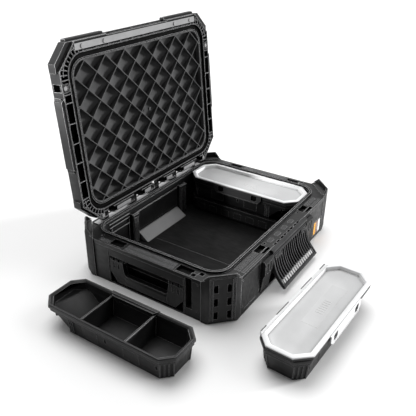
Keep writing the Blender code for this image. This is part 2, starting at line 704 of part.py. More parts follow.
def latch_cheek(tag, sign):
    """Bracket that carries one end of the latch pin."""
    x_in, x_out = LATCH_HALF + 0.8, LATCH_RECESS_X - GAP
    low, high = sorted((sign * x_in, sign * x_out))
    back = LATCH_RECESS_Y - GAP
    front = LATCH_AXIS_Y - 8.0
    profile = [(back, LATCH_RECESS_LOW + GAP), (back, LATCH_RECESS_TOP - GAP),
               (front + 4, LATCH_RECESS_TOP - GAP), (front, LATCH_RECESS_TOP - 5),
               (front, LATCH_AXIS_Z - 26), (front + 9, LATCH_RECESS_LOW + 6),
               (front + 12, LATCH_RECESS_LOW + GAP)]
    cheek = prism(f"latch_cheek_{tag}", profile, low, high, "YZ")
    boolean(cheek, rods(f"cheek_bore_{tag}", [
        ("X", (sign * (x_in + x_out) / 2, LATCH_AXIS_Y, LATCH_AXIS_Z), PIN_RADIUS + GAP, 60, 16)]))
    return part(cheek, black_plastic())


# ================================================================================= bins
def bin_profile(inset):
    """Side view (y, z) of the bin body: steep rear end, ramped front end."""
    low = inset
    end = BIN_Y - 5.0 - inset
    return [(-end, BIN_HIGH + 9 * bool(inset)), (-end, 38.0), (-end + 18, 34.0 - inset * 0.2),
            (-104.0, low), (end - 6.0, low), (end, 46.0), (end, BIN_HIGH + 9 * bool(inset))]


def bin_body(name, carrier, drawn):
    """Octagonal tub with a thick rim, a ramp at its -Y end and a ledge for the clip."""
    half_x = BIN_X - 5.0
    tub = prism(name, bin_profile(0.0), -80, 80, "YZ")
    boolean(tub, bin_taper(name + "_outer", half_x, BIN_Y - 4.0, 0.0), "INTERSECT")
    rim = prism(name + "_rim", octagon(BIN_X, BIN_Y, BIN_CHAMFER), BIN_HIGH - 7, BIN_HIGH)
    boolean(tub, rim, "UNION")
    ledge = boxes(name + "_ledge", [
        ((-BIN_X - 0.0, -58.0, BIN_HIGH - 16), (-half_x + 0.5, 58.0, BIN_HIGH - 5))])
    boolean(tub, ledge, "UNION")
    hollow = prism(name + "_hollow", bin_profile(BIN_WALL), -80, 80, "YZ")
    boolean(hollow, bin_taper(name + "_inner", half_x, BIN_Y - 4.0, BIN_WALL), "INTERSECT")
    boolean(tub, hollow)
    part(tub, black_plastic())
    return carry(tub, carrier, drawn)


def bin_taper(name, half_x, half_y, inset):
    """Octagonal block whose long sides lean in towards the floor of the bin."""
    block = prism(name, octagon(half_x - inset, half_y - inset, BIN_CHAMFER - 2), -5, BIN_HIGH + 12)
    bm = bmesh.new()
    bm.from_mesh(block.data)
    for vert in bm.verts:
        if vert.co.z < 0:
            vert.co.x -= math.copysign(5.0 * MM, vert.co.x)
    bm.to_mesh(block.data)
    bm.free()
    return block


def divider(name, carrier, drawn, y):
    """Cross wall standing in a bin."""
    half = BIN_X - 5.0 - BIN_WALL - GAP
    low_half = half - 4.6
    outline = [(-low_half, BIN_WALL + GAP), (low_half, BIN_WALL + GAP),
               (half - 1.0, BIN_HIGH - 5), (-half + 1.0, BIN_HIGH - 5)]
    wall = prism(name, outline, y - 1.3, y + 1.3, "XZ")
    part(wall, black_plastic())
    return carry(wall, carrier, drawn)


def bin_lid_set(tag, carrier):
    """Hinge strip, folding lid and closing clip of one bin."""
    outline = octagon(BIN_LID_X, BIN_LID_Y, BIN_LID_CHAMFER)
    low = BIN_HIGH + GAP
    lid = prism(f"{tag}_lid", outline, low, BIN_LID_TOP)
    inner = octagon(BIN_LID_X - 11, BIN_LID_Y - 11, BIN_LID_CHAMFER - 6)
    boolean(lid, prism(f"{tag}_lid_panel", inner, BIN_LID_TOP - 2.6, BIN_LID_TOP + 5))
    under = octagon(BIN_LID_X - 5, BIN_LID_Y - 5, BIN_LID_CHAMFER - 3)
    boolean(lid, prism(f"{tag}_lid_under", under, low - 5, BIN_LID_TOP - 4.8))
    boolean(lid, boxes(f"{tag}_lid_fold", [
        ((BIN_FOLD_X - GAP / 2, -300, 0), (BIN_FOLD_X + 60, 300, 90))]))
    part(lid, frosted_white())
    strip = prism(f"{tag}_hinge_strip", outline, low, BIN_LID_TOP)
    keep = boxes(f"{tag}_strip_keep", [((BIN_FOLD_X + GAP, -300, 0), (90, 300, 90))])
    boolean(strip, keep, "INTERSECT")
    part(strip, frosted_white())
    carry(strip, carrier, (0, 0, 0))
    fold = (BIN_FOLD_X, 0, BIN_LID_TOP)
    lid_empty = frame_at(f"{tag}_lid_fold_axis", fold, parent=carrier)
    carry(lid, lid_empty, fold)
    hook = (-BIN_LID_X - 2.6, 0, BIN_LID_TOP - 2.0)
    clip = prism(f"{tag}_clip", [
        (-BIN_LID_X - 0.5, BIN_LID_TOP - 0.9), (-BIN_LID_X - 0.5, CLIP_LOW),
        (-BIN_LID_X - 2.6, CLIP_LOW - 2), (-BIN_LID_X - 4.6, CLIP_LOW + 3),
        (-BIN_LID_X - 3.4, BIN_LID_TOP - 0.9)], -CLIP_Y, CLIP_Y, "XZ")
    boolean(clip, boxes(f"{tag}_clip_windows", [
        ((-90, y - 7, CLIP_LOW + 6), (-40, y + 7, BIN_LID_TOP - 6)) for y in (-52.0, 52.0)]))
    part(clip, frosted_white())
    offset = tuple(a - b for a, b in zip(hook, fold))
    clip_empty = frame_at(f"{tag}_clip_axis", offset, parent=lid_empty)
    carry(clip, clip_empty, hook)
    return lid_empty, clip_empty


TRAY_TOP = 43.5
BIN_ONE_AT = (181.5, -0.5, 44.0)
BIN_TWO_AT = (-412.5, -40.0, 0.0)
BIN_THREE_AT = (-166.0, -367.0, 0.0)
BIN_THREE_TURN = 87.3


def lower_tray():
    """Shallow open tray under the lidded bin; its rim carries that bin."""
    low = FLOOR_TOP + 2.4 + GAP
    x, y = BIN_ONE_AT[0], BIN_ONE_AT[1]
    tray = prism("lower_tray", octagon(BIN_X - 1, BIN_Y - 1, BIN_CHAMFER), low, TRAY_TOP)
    inner = octagon(BIN_X - 8.0, BIN_Y - 12.0, BIN_CHAMFER - 3)
    boolean(tray, prism("tray_hollow", inner, low + 2.4, TRAY_TOP + 10))
    part(tray, black_plastic())
    empty = frame_at("lower_tray_lift", (x, y, 0))
    carry(tray, empty, (0, 0, 0))
    return empty


def bins():
    tray = lower_tray()
    one = frame_at("lidded_bin_lift", (0, 0, BIN_ONE_AT[2]), parent=tray)
    bin_body("case_bin", one, (0, 0, 0))
    bin_lid_set("case_bin", one)
    two = frame_at("open_bin_lift", BIN_TWO_AT, 180.0)
    bin_body("open_bin", two, (0, 0, 0))
    for k, y in enumerate(DIVIDERS):
        divider(f"open_bin_divider_{k + 1}", two, (0, 0, 0), y)
    three = frame_at("floor_bin_lift", BIN_THREE_AT, BIN_THREE_TURN)
    bin_body("floor_bin", three, (0, 0, 0))
    bin_lid_set("floor_bin", three)


DIVIDERS = (-59.0, 56.0)

base_shell()
for guard_name, guard_x, guard_y in (
        ("corner_guard_front_left", -1, -1), ("corner_guard_front_right", 1, -1),
        ("corner_guard_rear_left", -1, 1), ("corner_guard_rear_right", 1, 1)):
    corner_guard(guard_name, guard_x, guard_y)
floor_mats()
rear_wedge()
indicator_pieces()
hinge_set()
lid_pieces()
side_handle("left_handle", -1)
side_handle("right_handle", 1)
front_latch()
bins()
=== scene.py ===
"""Looks of the tool storage case: detailed shells, lattice liner, bins and materials.

Lengths below are millimetres in the frame of the CAD model, with the lid drawn closed, the
latch drawn upright and each bin drawn at its own origin; piece() then puts them at rest.
"""

import math

import bmesh
import bpy
from mathutils import Matrix, Vector


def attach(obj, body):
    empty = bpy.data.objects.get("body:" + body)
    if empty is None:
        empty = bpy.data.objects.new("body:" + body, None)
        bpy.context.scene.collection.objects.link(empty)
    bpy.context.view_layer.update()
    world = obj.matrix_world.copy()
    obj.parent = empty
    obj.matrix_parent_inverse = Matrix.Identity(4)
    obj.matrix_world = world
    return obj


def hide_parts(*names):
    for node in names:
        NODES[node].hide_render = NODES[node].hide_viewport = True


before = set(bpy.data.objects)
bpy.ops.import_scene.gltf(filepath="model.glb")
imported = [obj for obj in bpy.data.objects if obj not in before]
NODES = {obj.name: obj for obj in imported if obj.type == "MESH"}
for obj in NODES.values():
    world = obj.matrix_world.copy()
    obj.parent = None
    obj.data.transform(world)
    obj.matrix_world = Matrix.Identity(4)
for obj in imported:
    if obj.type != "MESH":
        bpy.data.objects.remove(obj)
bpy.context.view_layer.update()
MM = 0.001

# ------------------------------------------------------------------ shared dimensions
HINGE_Y, HINGE_Z, LID_OPEN = 196.4, 131.4, 95.1
LATCH_Y, LATCH_Z, LATCH_OUT, LATCH_HALF = -216.0, 88.0, 26.0, 90.0
PARTING, FLANGE, PAD_FOOT = 106.8, 106.5, 105.2
GRIP_X, GRIP_Z = 271.5, 66.0
PIN_BORE, BARREL = 2.9, 5.6
SIDES = (-1, 1)
HANDS = (("left", -1), ("right", 1))


def turn_about(point, axis, degrees):
    """Rotation about an axis through a point."""
    move = Matrix.Translation([c * MM for c in point])
    return move @ Matrix.Rotation(math.radians(degrees), 4, axis) @ move.inverted()


def placed(where, degrees=0.0):
    """Shift to a spot after a turn about Z."""
    move = Matrix.Translation([c * MM for c in where])
    return move @ Matrix.Rotation(math.radians(degrees), 4, "Z")


REST = {"lid": turn_about((0, HINGE_Y, HINGE_Z), "X", -LID_OPEN),
        "front_latch": turn_about((0, LATCH_Y, LATCH_Z), "X", -LATCH_OUT),
        "lower_tray": placed((181.5, -0.5, 0.0)), "case_bin": placed((181.5, -0.5, 44.0)),
        "open_bin": placed((-412.5, -40.0, 0.0), 180.0),
        "floor_bin": placed((-166.0, -367.0, 0.0), 87.3)}


def rest_of(body):
    """Rest placement; a bin's lid, clip and dividers share the bin's own."""
    return next((at for start, at in REST.items() if body.startswith(start)), Matrix.Identity(4))


def side(sign, a, b):
    """Low and high end of a span on the given side."""
    return sorted((sign * a, sign * b))


# ============================================================================ outlines
def octagon(x, y, c, low=None):
    """Rectangle of half sizes x, y with corners cut by c; low replaces the -y end."""
    low = -y if low is None else low
    return [(-x, low + c), (-x + c, low), (x - c, low), (x, low + c),
            (x, y - c), (x - c, y), (-x + c, y), (-x, y - c)]


def arc(cx, cy, radius, start, sweep, steps):
    """Points along an arc, angles in degrees."""
    turns = [math.radians(start + sweep * k / steps) for k in range(steps + 1)]
    return [(cx + radius * math.cos(t), cy + radius * math.sin(t)) for t in turns]


def rounded(x, y, radius, low=None):
    """Rectangle of half sizes x, y with round corners; low replaces the -y end."""
    low = -y if low is None else low
    return (arc(x - radius, low + radius, radius, -90, 90, 9)
            + arc(x - radius, y - radius, radius, 0, 90, 9)
            + arc(radius - x, y - radius, radius, 90, 90, 9)
            + arc(radius - x, low + radius, radius, 180, 90, 9))


def pill(cx, cy, long, wide):
    """Rounded slot outline, long along the first axis."""
    reach, radius = (long - wide) / 2, wide / 2
    return arc(cx + reach, cy, radius, -90, 180, 6) + arc(cx - reach, cy, radius, 90, 180, 6)


# ======================================================================= solid builder
class Solid:
    """A set of closed shells, in millimetres."""

    def __init__(self):
        self.bm = bmesh.new()

    @staticmethod
    def lay(plane):
        """Matrix that lays an outline along the two named axes, its height along the third."""
        order = plane + next(a for a in "XYZ" if a not in plane)
        return Matrix([[float(a == b) for b in order] + [0.0] for a in "XYZ"]
                      + [[0.0, 0.0, 0.0, 1.0]])

    def loft(self, rings, matrix=None):
        """Closed shell through rings of equal count, each a list of 3D points."""
        m = matrix or Matrix.Identity(4)
        rows = [[self.bm.verts.new((m @ Vector(p)) * MM) for p in ring] for ring in rings]
        faces = self.skin(rows)
        faces += [self.bm.faces.new(rows[0][::-1]), self.bm.faces.new(rows[-1])]
        bmesh.ops.recalc_face_normals(self.bm, faces=faces)
        return self

    def skin(self, rows):
        """Quads between neighbouring rows of vertices."""
        faces = []
        for a, b in zip(rows, rows[1:]):
            for k, n in enumerate([*range(1, len(a)), 0]):
                faces.append(self.bm.faces.new((a[k], a[n], b[n], b[k])))
        return faces

    def stack(self, sizes):
        """Closed shell through octagons given as (half x, half y, corner, z)."""
        return self.loft([[(x, y, z) for x, y in octagon(*size)] for *size, z in sizes])

    def prism(self, points, low, high, plane="XY", matrix=None):
        """Outline extruded from low to high."""
        at = self.lay(plane) if matrix is None else matrix @ self.lay(plane)
        return self.loft([[(x, y, z) for x, y in points] for z in (low, high)], at)

    def box(self, x0, x1, y0, y1, z0, z1, matrix=None):
        return self.prism([(x0, y0), (x1, y0), (x1, y1), (x0, y1)], z0, z1, matrix=matrix)

    def rod(self, axis, centre, radius, length, sides=16, end_radius=None):
        """Cylinder or cone about an axis, by its middle point."""
        turn = {"X": Matrix.Rotation(math.pi / 2, 4, "Y"),
                "Y": Matrix.Rotation(-math.pi / 2, 4, "X"), "Z": Matrix.Identity(4)}[axis]
        rings = [[(x, y, h) for x, y in arc(0, 0, r, 0, 360, sides)[:-1]]
                 for r, h in ((radius, -length / 2), (end_radius or radius, length / 2))]
        return self.loft(rings, Matrix.Translation(centre) @ turn)

    def obj(self, name):
        """Turn the shells into an object."""
        mesh = bpy.data.meshes.new(name)
        self.bm.to_mesh(mesh)
        self.bm.free()
        return link(bpy.data.objects.new(name, mesh))


def link(obj):
    """Put an object into the scene."""
    bpy.context.scene.collection.objects.link(obj)
    return obj


def settle(obj):
    """Replace an object's mesh by its evaluated one and drop its modifiers."""
    bpy.context.view_layer.update()
    evaluated = obj.evaluated_get(bpy.context.evaluated_depsgraph_get())
    done = bpy.data.meshes.new_from_object(evaluated)
    old = obj.data
    obj.modifiers.clear()
    obj.data = done
    bpy.data.meshes.remove(old)


def join_solid(obj, solid, how, crossing=False):
    """Boolean of an object with a solid; crossing is for solids that cross themselves."""
    other = solid.obj("tool") if isinstance(solid, Solid) else solid
    mod = obj.modifiers.new("join", "BOOLEAN")
    mod.operation = how
    mod.solver = "EXACT"
    mod.use_self = crossing
    mod.object = other
    settle(obj)
    old = other.data
    bpy.data.objects.remove(other)
    bpy.data.meshes.remove(old)
    return obj


def cut(obj, solid, crossing=False):
    """Take a solid away from an object."""
    return join_solid(obj, solid, "DIFFERENCE", crossing)


def add(obj, solid, crossing=False):
    """Join a solid to an object."""
    return join_solid(obj, solid, "UNION", crossing)


def ring_solid(outer, inner, low, high):
    """Closed band between two outlines of equal count."""
    s = Solid()
    rings = ((outer, low), (outer, high), (inner, high), (inner, low))
    rows = [[s.bm.verts.new(Vector((x, y, z)) * MM) for x, y in line] for line, z in rings]
    bmesh.ops.recalc_face_normals(s.bm, faces=s.skin(rows + rows[:1]))
    return s


def cut_ring(outer, inner, low, high):
    """Band between outlines of unlike count, by cutting one prism with the other."""
    band = Solid().prism(outer, low, high).obj("band")
    return cut(band, Solid().prism(inner, low - 20, high + 20))


def paint(obj, mat):
    """Give an object one material."""
    obj.data.materials.clear()
    obj.data.materials.append(mat)


def piece(source, name, mat, body, edge=0.0, replaces=None, smooth=32):
    """Finish a piece: soften its edges, shade it, put it at rest and tie it to its body."""
    obj = source.obj(name) if isinstance(source, Solid) else source
    obj.name = name
    if edge:
        mod = obj.modifiers.new("edge", "BEVEL")
        mod.width = edge * MM
        mod.segments = 1
        mod.limit_method = "ANGLE"
        mod.angle_limit = math.radians(38)
        settle(obj)
    obj.data.name = name
    obj.data.transform(rest_of(body))
    paint(obj, mat)
    obj.data.shade_smooth()
    obj.data.set_sharp_from_angle(angle=math.radians(smooth))
    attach(obj, body)
    if replaces:
        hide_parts(replaces)


# =========================================================================== materials
# Painted shade: colour and gloss grow darker where ambient occlusion finds a crease, recess or gap
# within this reach.
PAINTED_SHADE_REACH, PAINTED_SHADE_DARK, PAINTED_SHADE_SPAN = 0.009, 0.12, (0.25, 0.85)


def feed(tree, node, inputs):
    """Set a node's inputs, each to a value or to the socket that drives it."""
    for key, value in inputs.items():
        if isinstance(value, bpy.types.NodeSocket):
            tree.links.new(value, node.inputs[key])
        else:
            node.inputs[key].default_value = value


def add_node(tree, kind, inputs=None, **settings):
    """New shader node with its settings and inputs; gives its outputs."""
    node = tree.nodes.new("ShaderNode" + kind)
    for key, value in settings.items():
        setattr(node, key, value)
    feed(tree, node, inputs or {})
    return node.outputs


def ramp(tree, source, low, high, span=(0.35, 0.65)):
    """Remap a value from the span to low..high."""
    return add_node(tree, "MapRange", {"Value": source, "From Min": span[0], "From Max": span[1],
                                       "To Min": low, "To Max": high})["Result"]


def blend(tree, factor, first, second):
    """Mix of two colours."""
    return add_node(tree, "Mix", {"Factor": factor, "A": first, "B": second},
                    data_type="RGBA")["Result"]


def noise(tree, coords, scale, detail, stretch=None):
    """Noise value, stretched where a scale per axis is given."""
    if stretch:
        coords = add_node(tree, "Mapping", {"Vector": coords, "Scale": stretch})["Vector"]
    return add_node(tree, "TexNoise", {"Vector": coords, "Scale": scale, "Detail": detail})["Fac"]


def edge_wear_and_highlight_mask(tree, radius):
    """1 near edges, where wear and a painted highlight go, 0 on flats: how far a rounded normal
    leans from the true one.
    """
    soft = add_node(tree, "Bevel", {"Radius": radius}, samples=4)["Normal"]
    true = add_node(tree, "NewGeometry")["Normal"]
    lean = add_node(tree, "VectorMath", {0: soft, 1: true}, operation="DOT_PRODUCT")["Value"]
    return ramp(tree, lean, 1.0, 0.0, (0.90, 0.997))


def new_material(name):
    """Material with its node tree and shader."""
    mat = bpy.data.materials.new(name)
    mat.use_nodes = True
    return mat, mat.node_tree, mat.node_tree.nodes["Principled BSDF"]


def surface(name, colour, edge_wear_and_highlight, rough, grain=1400.0, grain_depth=0.00012, edge_radius=0.0015,
            metal=0.0, streak=None, coat=0.0, tint=0.18, gloss=0.42):
    """Moulded or rolled surface: grain, uneven sheen, painted shade in hollows, and edges
    lightened by wear and a painted highlight.
    """
    mat, tree, shader = new_material(name)

    def shade(by):
        return (*[min(1.0, c * by) for c in colour], 1)

    coords = add_node(tree, "TexCoord")["Object"]
    patches = ramp(tree, noise(tree, coords, 22.0, 4.0), 0.0, 1.0)
    marks = noise(tree, coords, 160.0, 6.0, (1.0, 0.25, 0.6))
    skin = blend(tree, patches, shade(1 - tint), shade(1 + tint))
    # edges lightened: partly wear, partly a painted highlight
    skin = blend(tree, edge_wear_and_highlight_mask(tree, edge_radius), skin, (*edge_wear_and_highlight, 1))
    # painted shade: darker colour in creases, recesses and between parts
    painted_shade_ao = add_node(tree, "AmbientOcclusion", {"Distance": PAINTED_SHADE_REACH}, samples=6)["AO"]
    skin = blend(tree, ramp(tree, painted_shade_ao, 0.0, 1.0, PAINTED_SHADE_SPAN), shade(PAINTED_SHADE_DARK), skin)
    bump = add_node(tree, "Bump", {"Strength": 0.6, "Distance": grain_depth,
                                   "Height": noise(tree, coords, grain, 2.0, streak)})["Normal"]
    feed(tree, shader, {
        "Base Color": skin, "Normal": bump, "Metallic": metal, "Coat Weight": coat,
        # gloss dimmed by the same painted shade
        "Specular IOR Level": ramp(tree, painted_shade_ao, gloss * PAINTED_SHADE_DARK, gloss, PAINTED_SHADE_SPAN),
        "Roughness": ramp(tree, marks, rough - 0.07, rough + 0.07)})
    return mat


FROST = {"grain": 700.0, "grain_depth": 0.00004}
LENS_COAT = 0.4
# The second colour of each surface goes on its edges: partly wear, partly a painted highlight.
BLACK = surface("moulded_black", (0.0110, 0.0110, 0.0114), (0.46, 0.46, 0.465), 0.44,
                edge_radius=0.0013, gloss=0.34)
LINER = surface("liner_black", (0.064, 0.064, 0.065), (0.15, 0.15, 0.152), 0.62,
                grain=900.0, edge_radius=0.0009, gloss=0.10)
SATIN = surface("satin_dark", (0.040, 0.040, 0.041), (0.34, 0.34, 0.345), 0.38,
                edge_radius=0.0013, gloss=0.32)
TUB = surface("bin_black", (0.0150, 0.0150, 0.0155), (0.36, 0.36, 0.365), 0.42,
              grain=1100.0, edge_radius=0.0014, gloss=0.32)
COMB = surface("comb_black", (0.034, 0.034, 0.035), (0.24, 0.24, 0.245), 0.42,
               edge_radius=0.0009, gloss=0.20)
# Near black, put where there should only be shade: painted shadow.
PAINTED_SHADOW_BLACK = surface("shadow_black", (0.0035, 0.0035, 0.0036), (0.02, 0.02, 0.02), 0.6,
               gloss=0.10)
MAT_RUBBER = surface("mat_rubber", (0.0100, 0.0100, 0.0102), (0.10, 0.10, 0.10), 0.6,
                     grain=420.0, grain_depth=0.0004, tint=0.35, gloss=0.16)
SEAL_RUBBER = surface("seal_rubber", (0.004, 0.004, 0.004), (0.01, 0.01, 0.01), 0.7,
                      gloss=0.08)
STEEL = surface("brushed_steel", (0.40, 0.40, 0.405), (0.52, 0.52, 0.525), 0.50,
                grain=260.0, grain_depth=0.00005, metal=0.6,
                streak=(0.06, 4.0, 4.0), tint=0.06)
WEDGE = surface("wedge_grey", (0.30, 0.30, 0.303), (0.33, 0.33, 0.333), 0.40,
                tint=0.04, gloss=0.3)
LID_WHITE = surface("frosted_white", (0.80, 0.805, 0.81), (0.90, 0.90, 0.90), 0.40,
                    **FROST, tint=0.02, gloss=0.25)
LID_PANEL = surface("frosted_panel", (0.57, 0.573, 0.576), (0.66, 0.66, 0.66), 0.36,
                    **FROST, tint=0.03, gloss=0.2)
LID_SMOKE = surface("frosted_smoke", (0.055, 0.055, 0.056), (0.22, 0.22, 0.22), 0.36,
                    **FROST, tint=0.06, gloss=0.3)
# Pale grey on the black lever's lower bars: a painted highlight.
BARS_PAINTED_HIGHLIGHT = surface("bars_painted_highlight", (0.50, 0.50, 0.505), (0.60, 0.60, 0.605), 0.34,
                     tint=0.08, gloss=0.5)
YELLOW = surface("lens_yellow", (1.0, 0.44, 0.01), (1.0, 0.6, 0.15), 0.22, coat=LENS_COAT,
                 tint=0.05)
ROSE = surface("lens_rose", (0.34, 0.19, 0.14), (0.5, 0.36, 0.3), 0.25, coat=LENS_COAT,
               tint=0.05)
WHITE = surface("lens_white", (0.86, 0.86, 0.86), (0.9, 0.9, 0.9), 0.25, coat=LENS_COAT,
                tint=0.03)


# =========================================================================== the base
SOCKETS = ((269.5, -124.5), (257.5, -138))
SIDE_POCKETS = ((68, 106), (-120, -80))
FRONT_POCKETS = ((-120, -86), (113, 147))
STUDS = (-55, -20, 15, 50)
RIB_PITCH, RIB_WIDE = 3.4, 1.87


def base_shell():
    """Octagonal shell with a sealing tongue, moulded pockets and recesses for the fittings."""
    shell = Solid().prism(octagon(279.4, 212.4, 61.6), 0, 104).obj("base")
    add(shell, Solid().prism(octagon(280, 213, 62), 96, 105.9))
    add(shell, Solid().prism(rounded(249, 179, 43), 100, 111.7))
    cut(shell, Solid().prism(rounded(243, 173, 37), FLANGE, 120))
    cut(shell, ring_solid(rounded(247.4, 177.4, 41.4), rounded(244.7, 174.7, 38.7), 109.4, 120))
    cut(shell, Solid().prism(rounded(240, 170, 32), 4, 120))

    hollow = Solid()
    for sign in SIDES:
        for y0, y1 in ((-144, -128.6), (110, 144)):
            hollow.box(*side(sign, 243, 276.4), y0, y1, -1, 90)
    hollow.box(-206, 206, 173, 209.4, -1, 90)
    hollow.box(-206, -137, -209.4, -173, -1, 90)
    hollow.box(137, 160, -209.4, -173, -1, 90)
    cut(shell, hollow)

    carve = Solid()
    carve.box(-131, 131, -400, -196, 5, 95.5)
    carve.box(165, 219, -400, -206, 9, 51)
    carve.box(-250, 250, 184, 400, 101.5, 120)
    for sign in SIDES:
        carve.box(*side(sign, 257, 400), -104.5, 104.5, 3, 76)
        carve.box(*side(sign, 266, 400), -127, -110.5, 22, 101)
        for y0, y1 in SIDE_POCKETS:
            carve.box(*side(sign, 252, 275), y0, y1, 97.5, 120)
    for x0, x1 in FRONT_POCKETS:
        carve.box(x0, x1, -199.5, -183, 96.5, 120)
        carve.box(x0 + 5, x1 + 3, -210, -201.8, 98.5, 120)
    carve.box(-92, 92, -300, -212, 96, 120)
    for pair in STUDS:
        for x in (pair - 7.5, pair + 7.5):
            carve.box(x - 5.6, x + 5.6, -240, -207.6, 96.9, 120)
    cut(shell, carve, crossing=True)
    brow = Solid().prism([(-212.3, 97.4), (-220.8, 97.4), (-221.6, 98.4), (-221.6, 103.4),
                          (-220.4, 104.8), (-212.3, 105.9)], -91.6, 91.6, "YZ")
    piece(brow, "latch_brow", COMB, "case", 0.4)
    # near-black sheets on the backs and floors of the recesses and pockets: painted shade
    painted_shade_boxes = Solid()
    for sign in SIDES:
        painted_shade_boxes.box(*side(sign, 256.9, 257.3), -104, 104, 3.4, 75.6)
        painted_shade_boxes.box(*side(sign, 265.8, 266.2), -126.6, -110.9, 22.4, 100.6)
        for y0, y1 in SIDE_POCKETS:
            painted_shade_boxes.box(*side(sign, 252.4, 274.6), y0 + 0.4, y1 - 0.4, 97.3, 97.9)
    for x0, x1 in FRONT_POCKETS:
        painted_shade_boxes.box(x0 + 0.4, x1 - 0.4, -199.1, -183.4, 96.3, 96.9)
        painted_shade_boxes.box(x0 + 5.4, x1 + 2.6, -209.6, -202.2, 98.3, 98.9)
    painted_shade_boxes.box(-130.6, 130.6, -196.2, -195.8, 5.4, 95.1)
    piece(painted_shade_boxes, "recess_painted_shade", PAINTED_SHADOW_BLACK, "case")

    small = Solid()
    for sign in SIDES:
        small.rod("Z", (sign * 257, 140, FLANGE), 3.2, 14, 12)
        for x, y in SOCKETS:
            small.box(*side(sign, x - 5.2, x + 5.2), y - 5.2, y + 5.2, 92, 120)
        for y in (105.8, -105.8):
            small.box(*side(sign, 277.6, 300), y - 0.8, y + 0.8, 0.5, 95)
        for z in (22, 92):
            small.rod("X", (sign * 280, -141, z), 2.3, 3, 12)
    for x in (-75, 103):
        small.rod("Z", (x, -189, FLANGE), 3.2, 14, 12)
    for x in (-212, -140):
        for z in (22, 92):
            small.rod("Y", (x + 1.5, -212.4, z), 1.8, 2.4, 12)
    for sign in SIDES:
        small.box(*side(sign, 134.2, 135.6), -300, -210.6, 3, 101)
    small.box(-205, -150, -300, -211.8, 12, 13.2)
    cut(shell, small)
    piece(shell, "case_shell", BLACK, "case", 0.7, "base_shell")


def flange_pads():
    """Finely ribbed pads and raised tabs along the flange."""
    s = Solid()
    for sign in SIDES:
        for k in range(40):
            y = -74 + RIB_PITCH * k
            s.box(*side(sign, 253, 265.6), y, y + RIB_WIDE, PAD_FOOT, FLANGE)
            s.box(*side(sign, 267, 277.6), y, y + RIB_WIDE, PAD_FOOT, 106.3)
        for x, y in SOCKETS:
            for a, b, c, d in ((-6.5, -5.3, -6.5, 6.5), (5.3, 6.5, -6.5, 6.5),
                               (-5.3, 5.3, -6.5, -5.3), (-5.3, 5.3, 5.3, 6.5)):
                s.box(*side(sign, x + a, x + b), y + c, y + d, PAD_FOOT, 106.3)
        for k in range(8):
            y = 110 + RIB_PITCH * k
            s.box(*side(sign, 264, 276), y, y + RIB_WIDE, PAD_FOOT, FLANGE)
    for x0, x1 in ((-205, -120), (150, 205)):
        for k in range(int((x1 - x0) / RIB_PITCH)):
            x = x0 + RIB_PITCH * k
            s.box(x, x + RIB_WIDE, -199, -184, PAD_FOOT, FLANGE)
        s.box(x0, x1, -209, -202.5, PAD_FOOT, FLANGE)
    for x in STUDS:
        s.prism(pill(x, -194.5, 23, 12), PAD_FOOT, FLANGE)
    piece(s, "flange_pads", SATIN, "case", 0.25)
    seam = Solid().prism([(-71.2, 6), (-68.8, 6), (-69.4, 7.2), (-70.6, 7.2)], -165, 165, "XZ")
    piece(seam, "mat_seam", SATIN, "case", 0.3)


def wall_details():
    """Pillars, rails and frames that stand off the inner walls."""
    s = Solid()
    for x0, x1 in ((-128, -104), (76, 108)):
        s.prism([(x0, 169.8), (x0 + 2, 161), (x1 - 2, 161), (x1, 169.8)], 7, 94)
        step = (x1 - x0 - 10) / 3
        for k in range(4):
            x = x0 + 5 + step * k
            s.box(x - 1.3, x + 1.3, 157.8, 161.4, 9, 90)
        s.box(x0 + 1, x1 - 1, 157, 162, 84, 92)
    s.box(-102, 74, 166.6, 170, 88, 91)
    s.box(-102, 74, 168.6, 170, 34, 87)
    for z in (72, 88, 98):
        s.box(-206, -131, 166.8, 170, z, z + 2.2)
    for x in (-200, -136):
        s.box(x, x + 2.4, 166.8, 170, 20, 90)
    s.box(-200, -134, 166.8, 170, 20, 22.4)
    piece(s, "wall_ribs", BLACK, "case", 0.5)
    rails = Solid()
    for sign in SIDES:
        for y in (-120, -40, 40, 120):
            rails.prism([(sign * 239.9, y - 9), (sign * 236.9, y - 7), (sign * 236.9, y + 7),
                         (sign * 239.9, y + 9)], 8, 92)
    for x in (-150, -60, 60):
        rails.prism([(x - 9, -169.9), (x + 9, -169.9), (x + 7, -166.9), (x - 7, -166.9)], 8, 92)
    piece(rails, "wall_rails", BLACK, "case", 0.5)


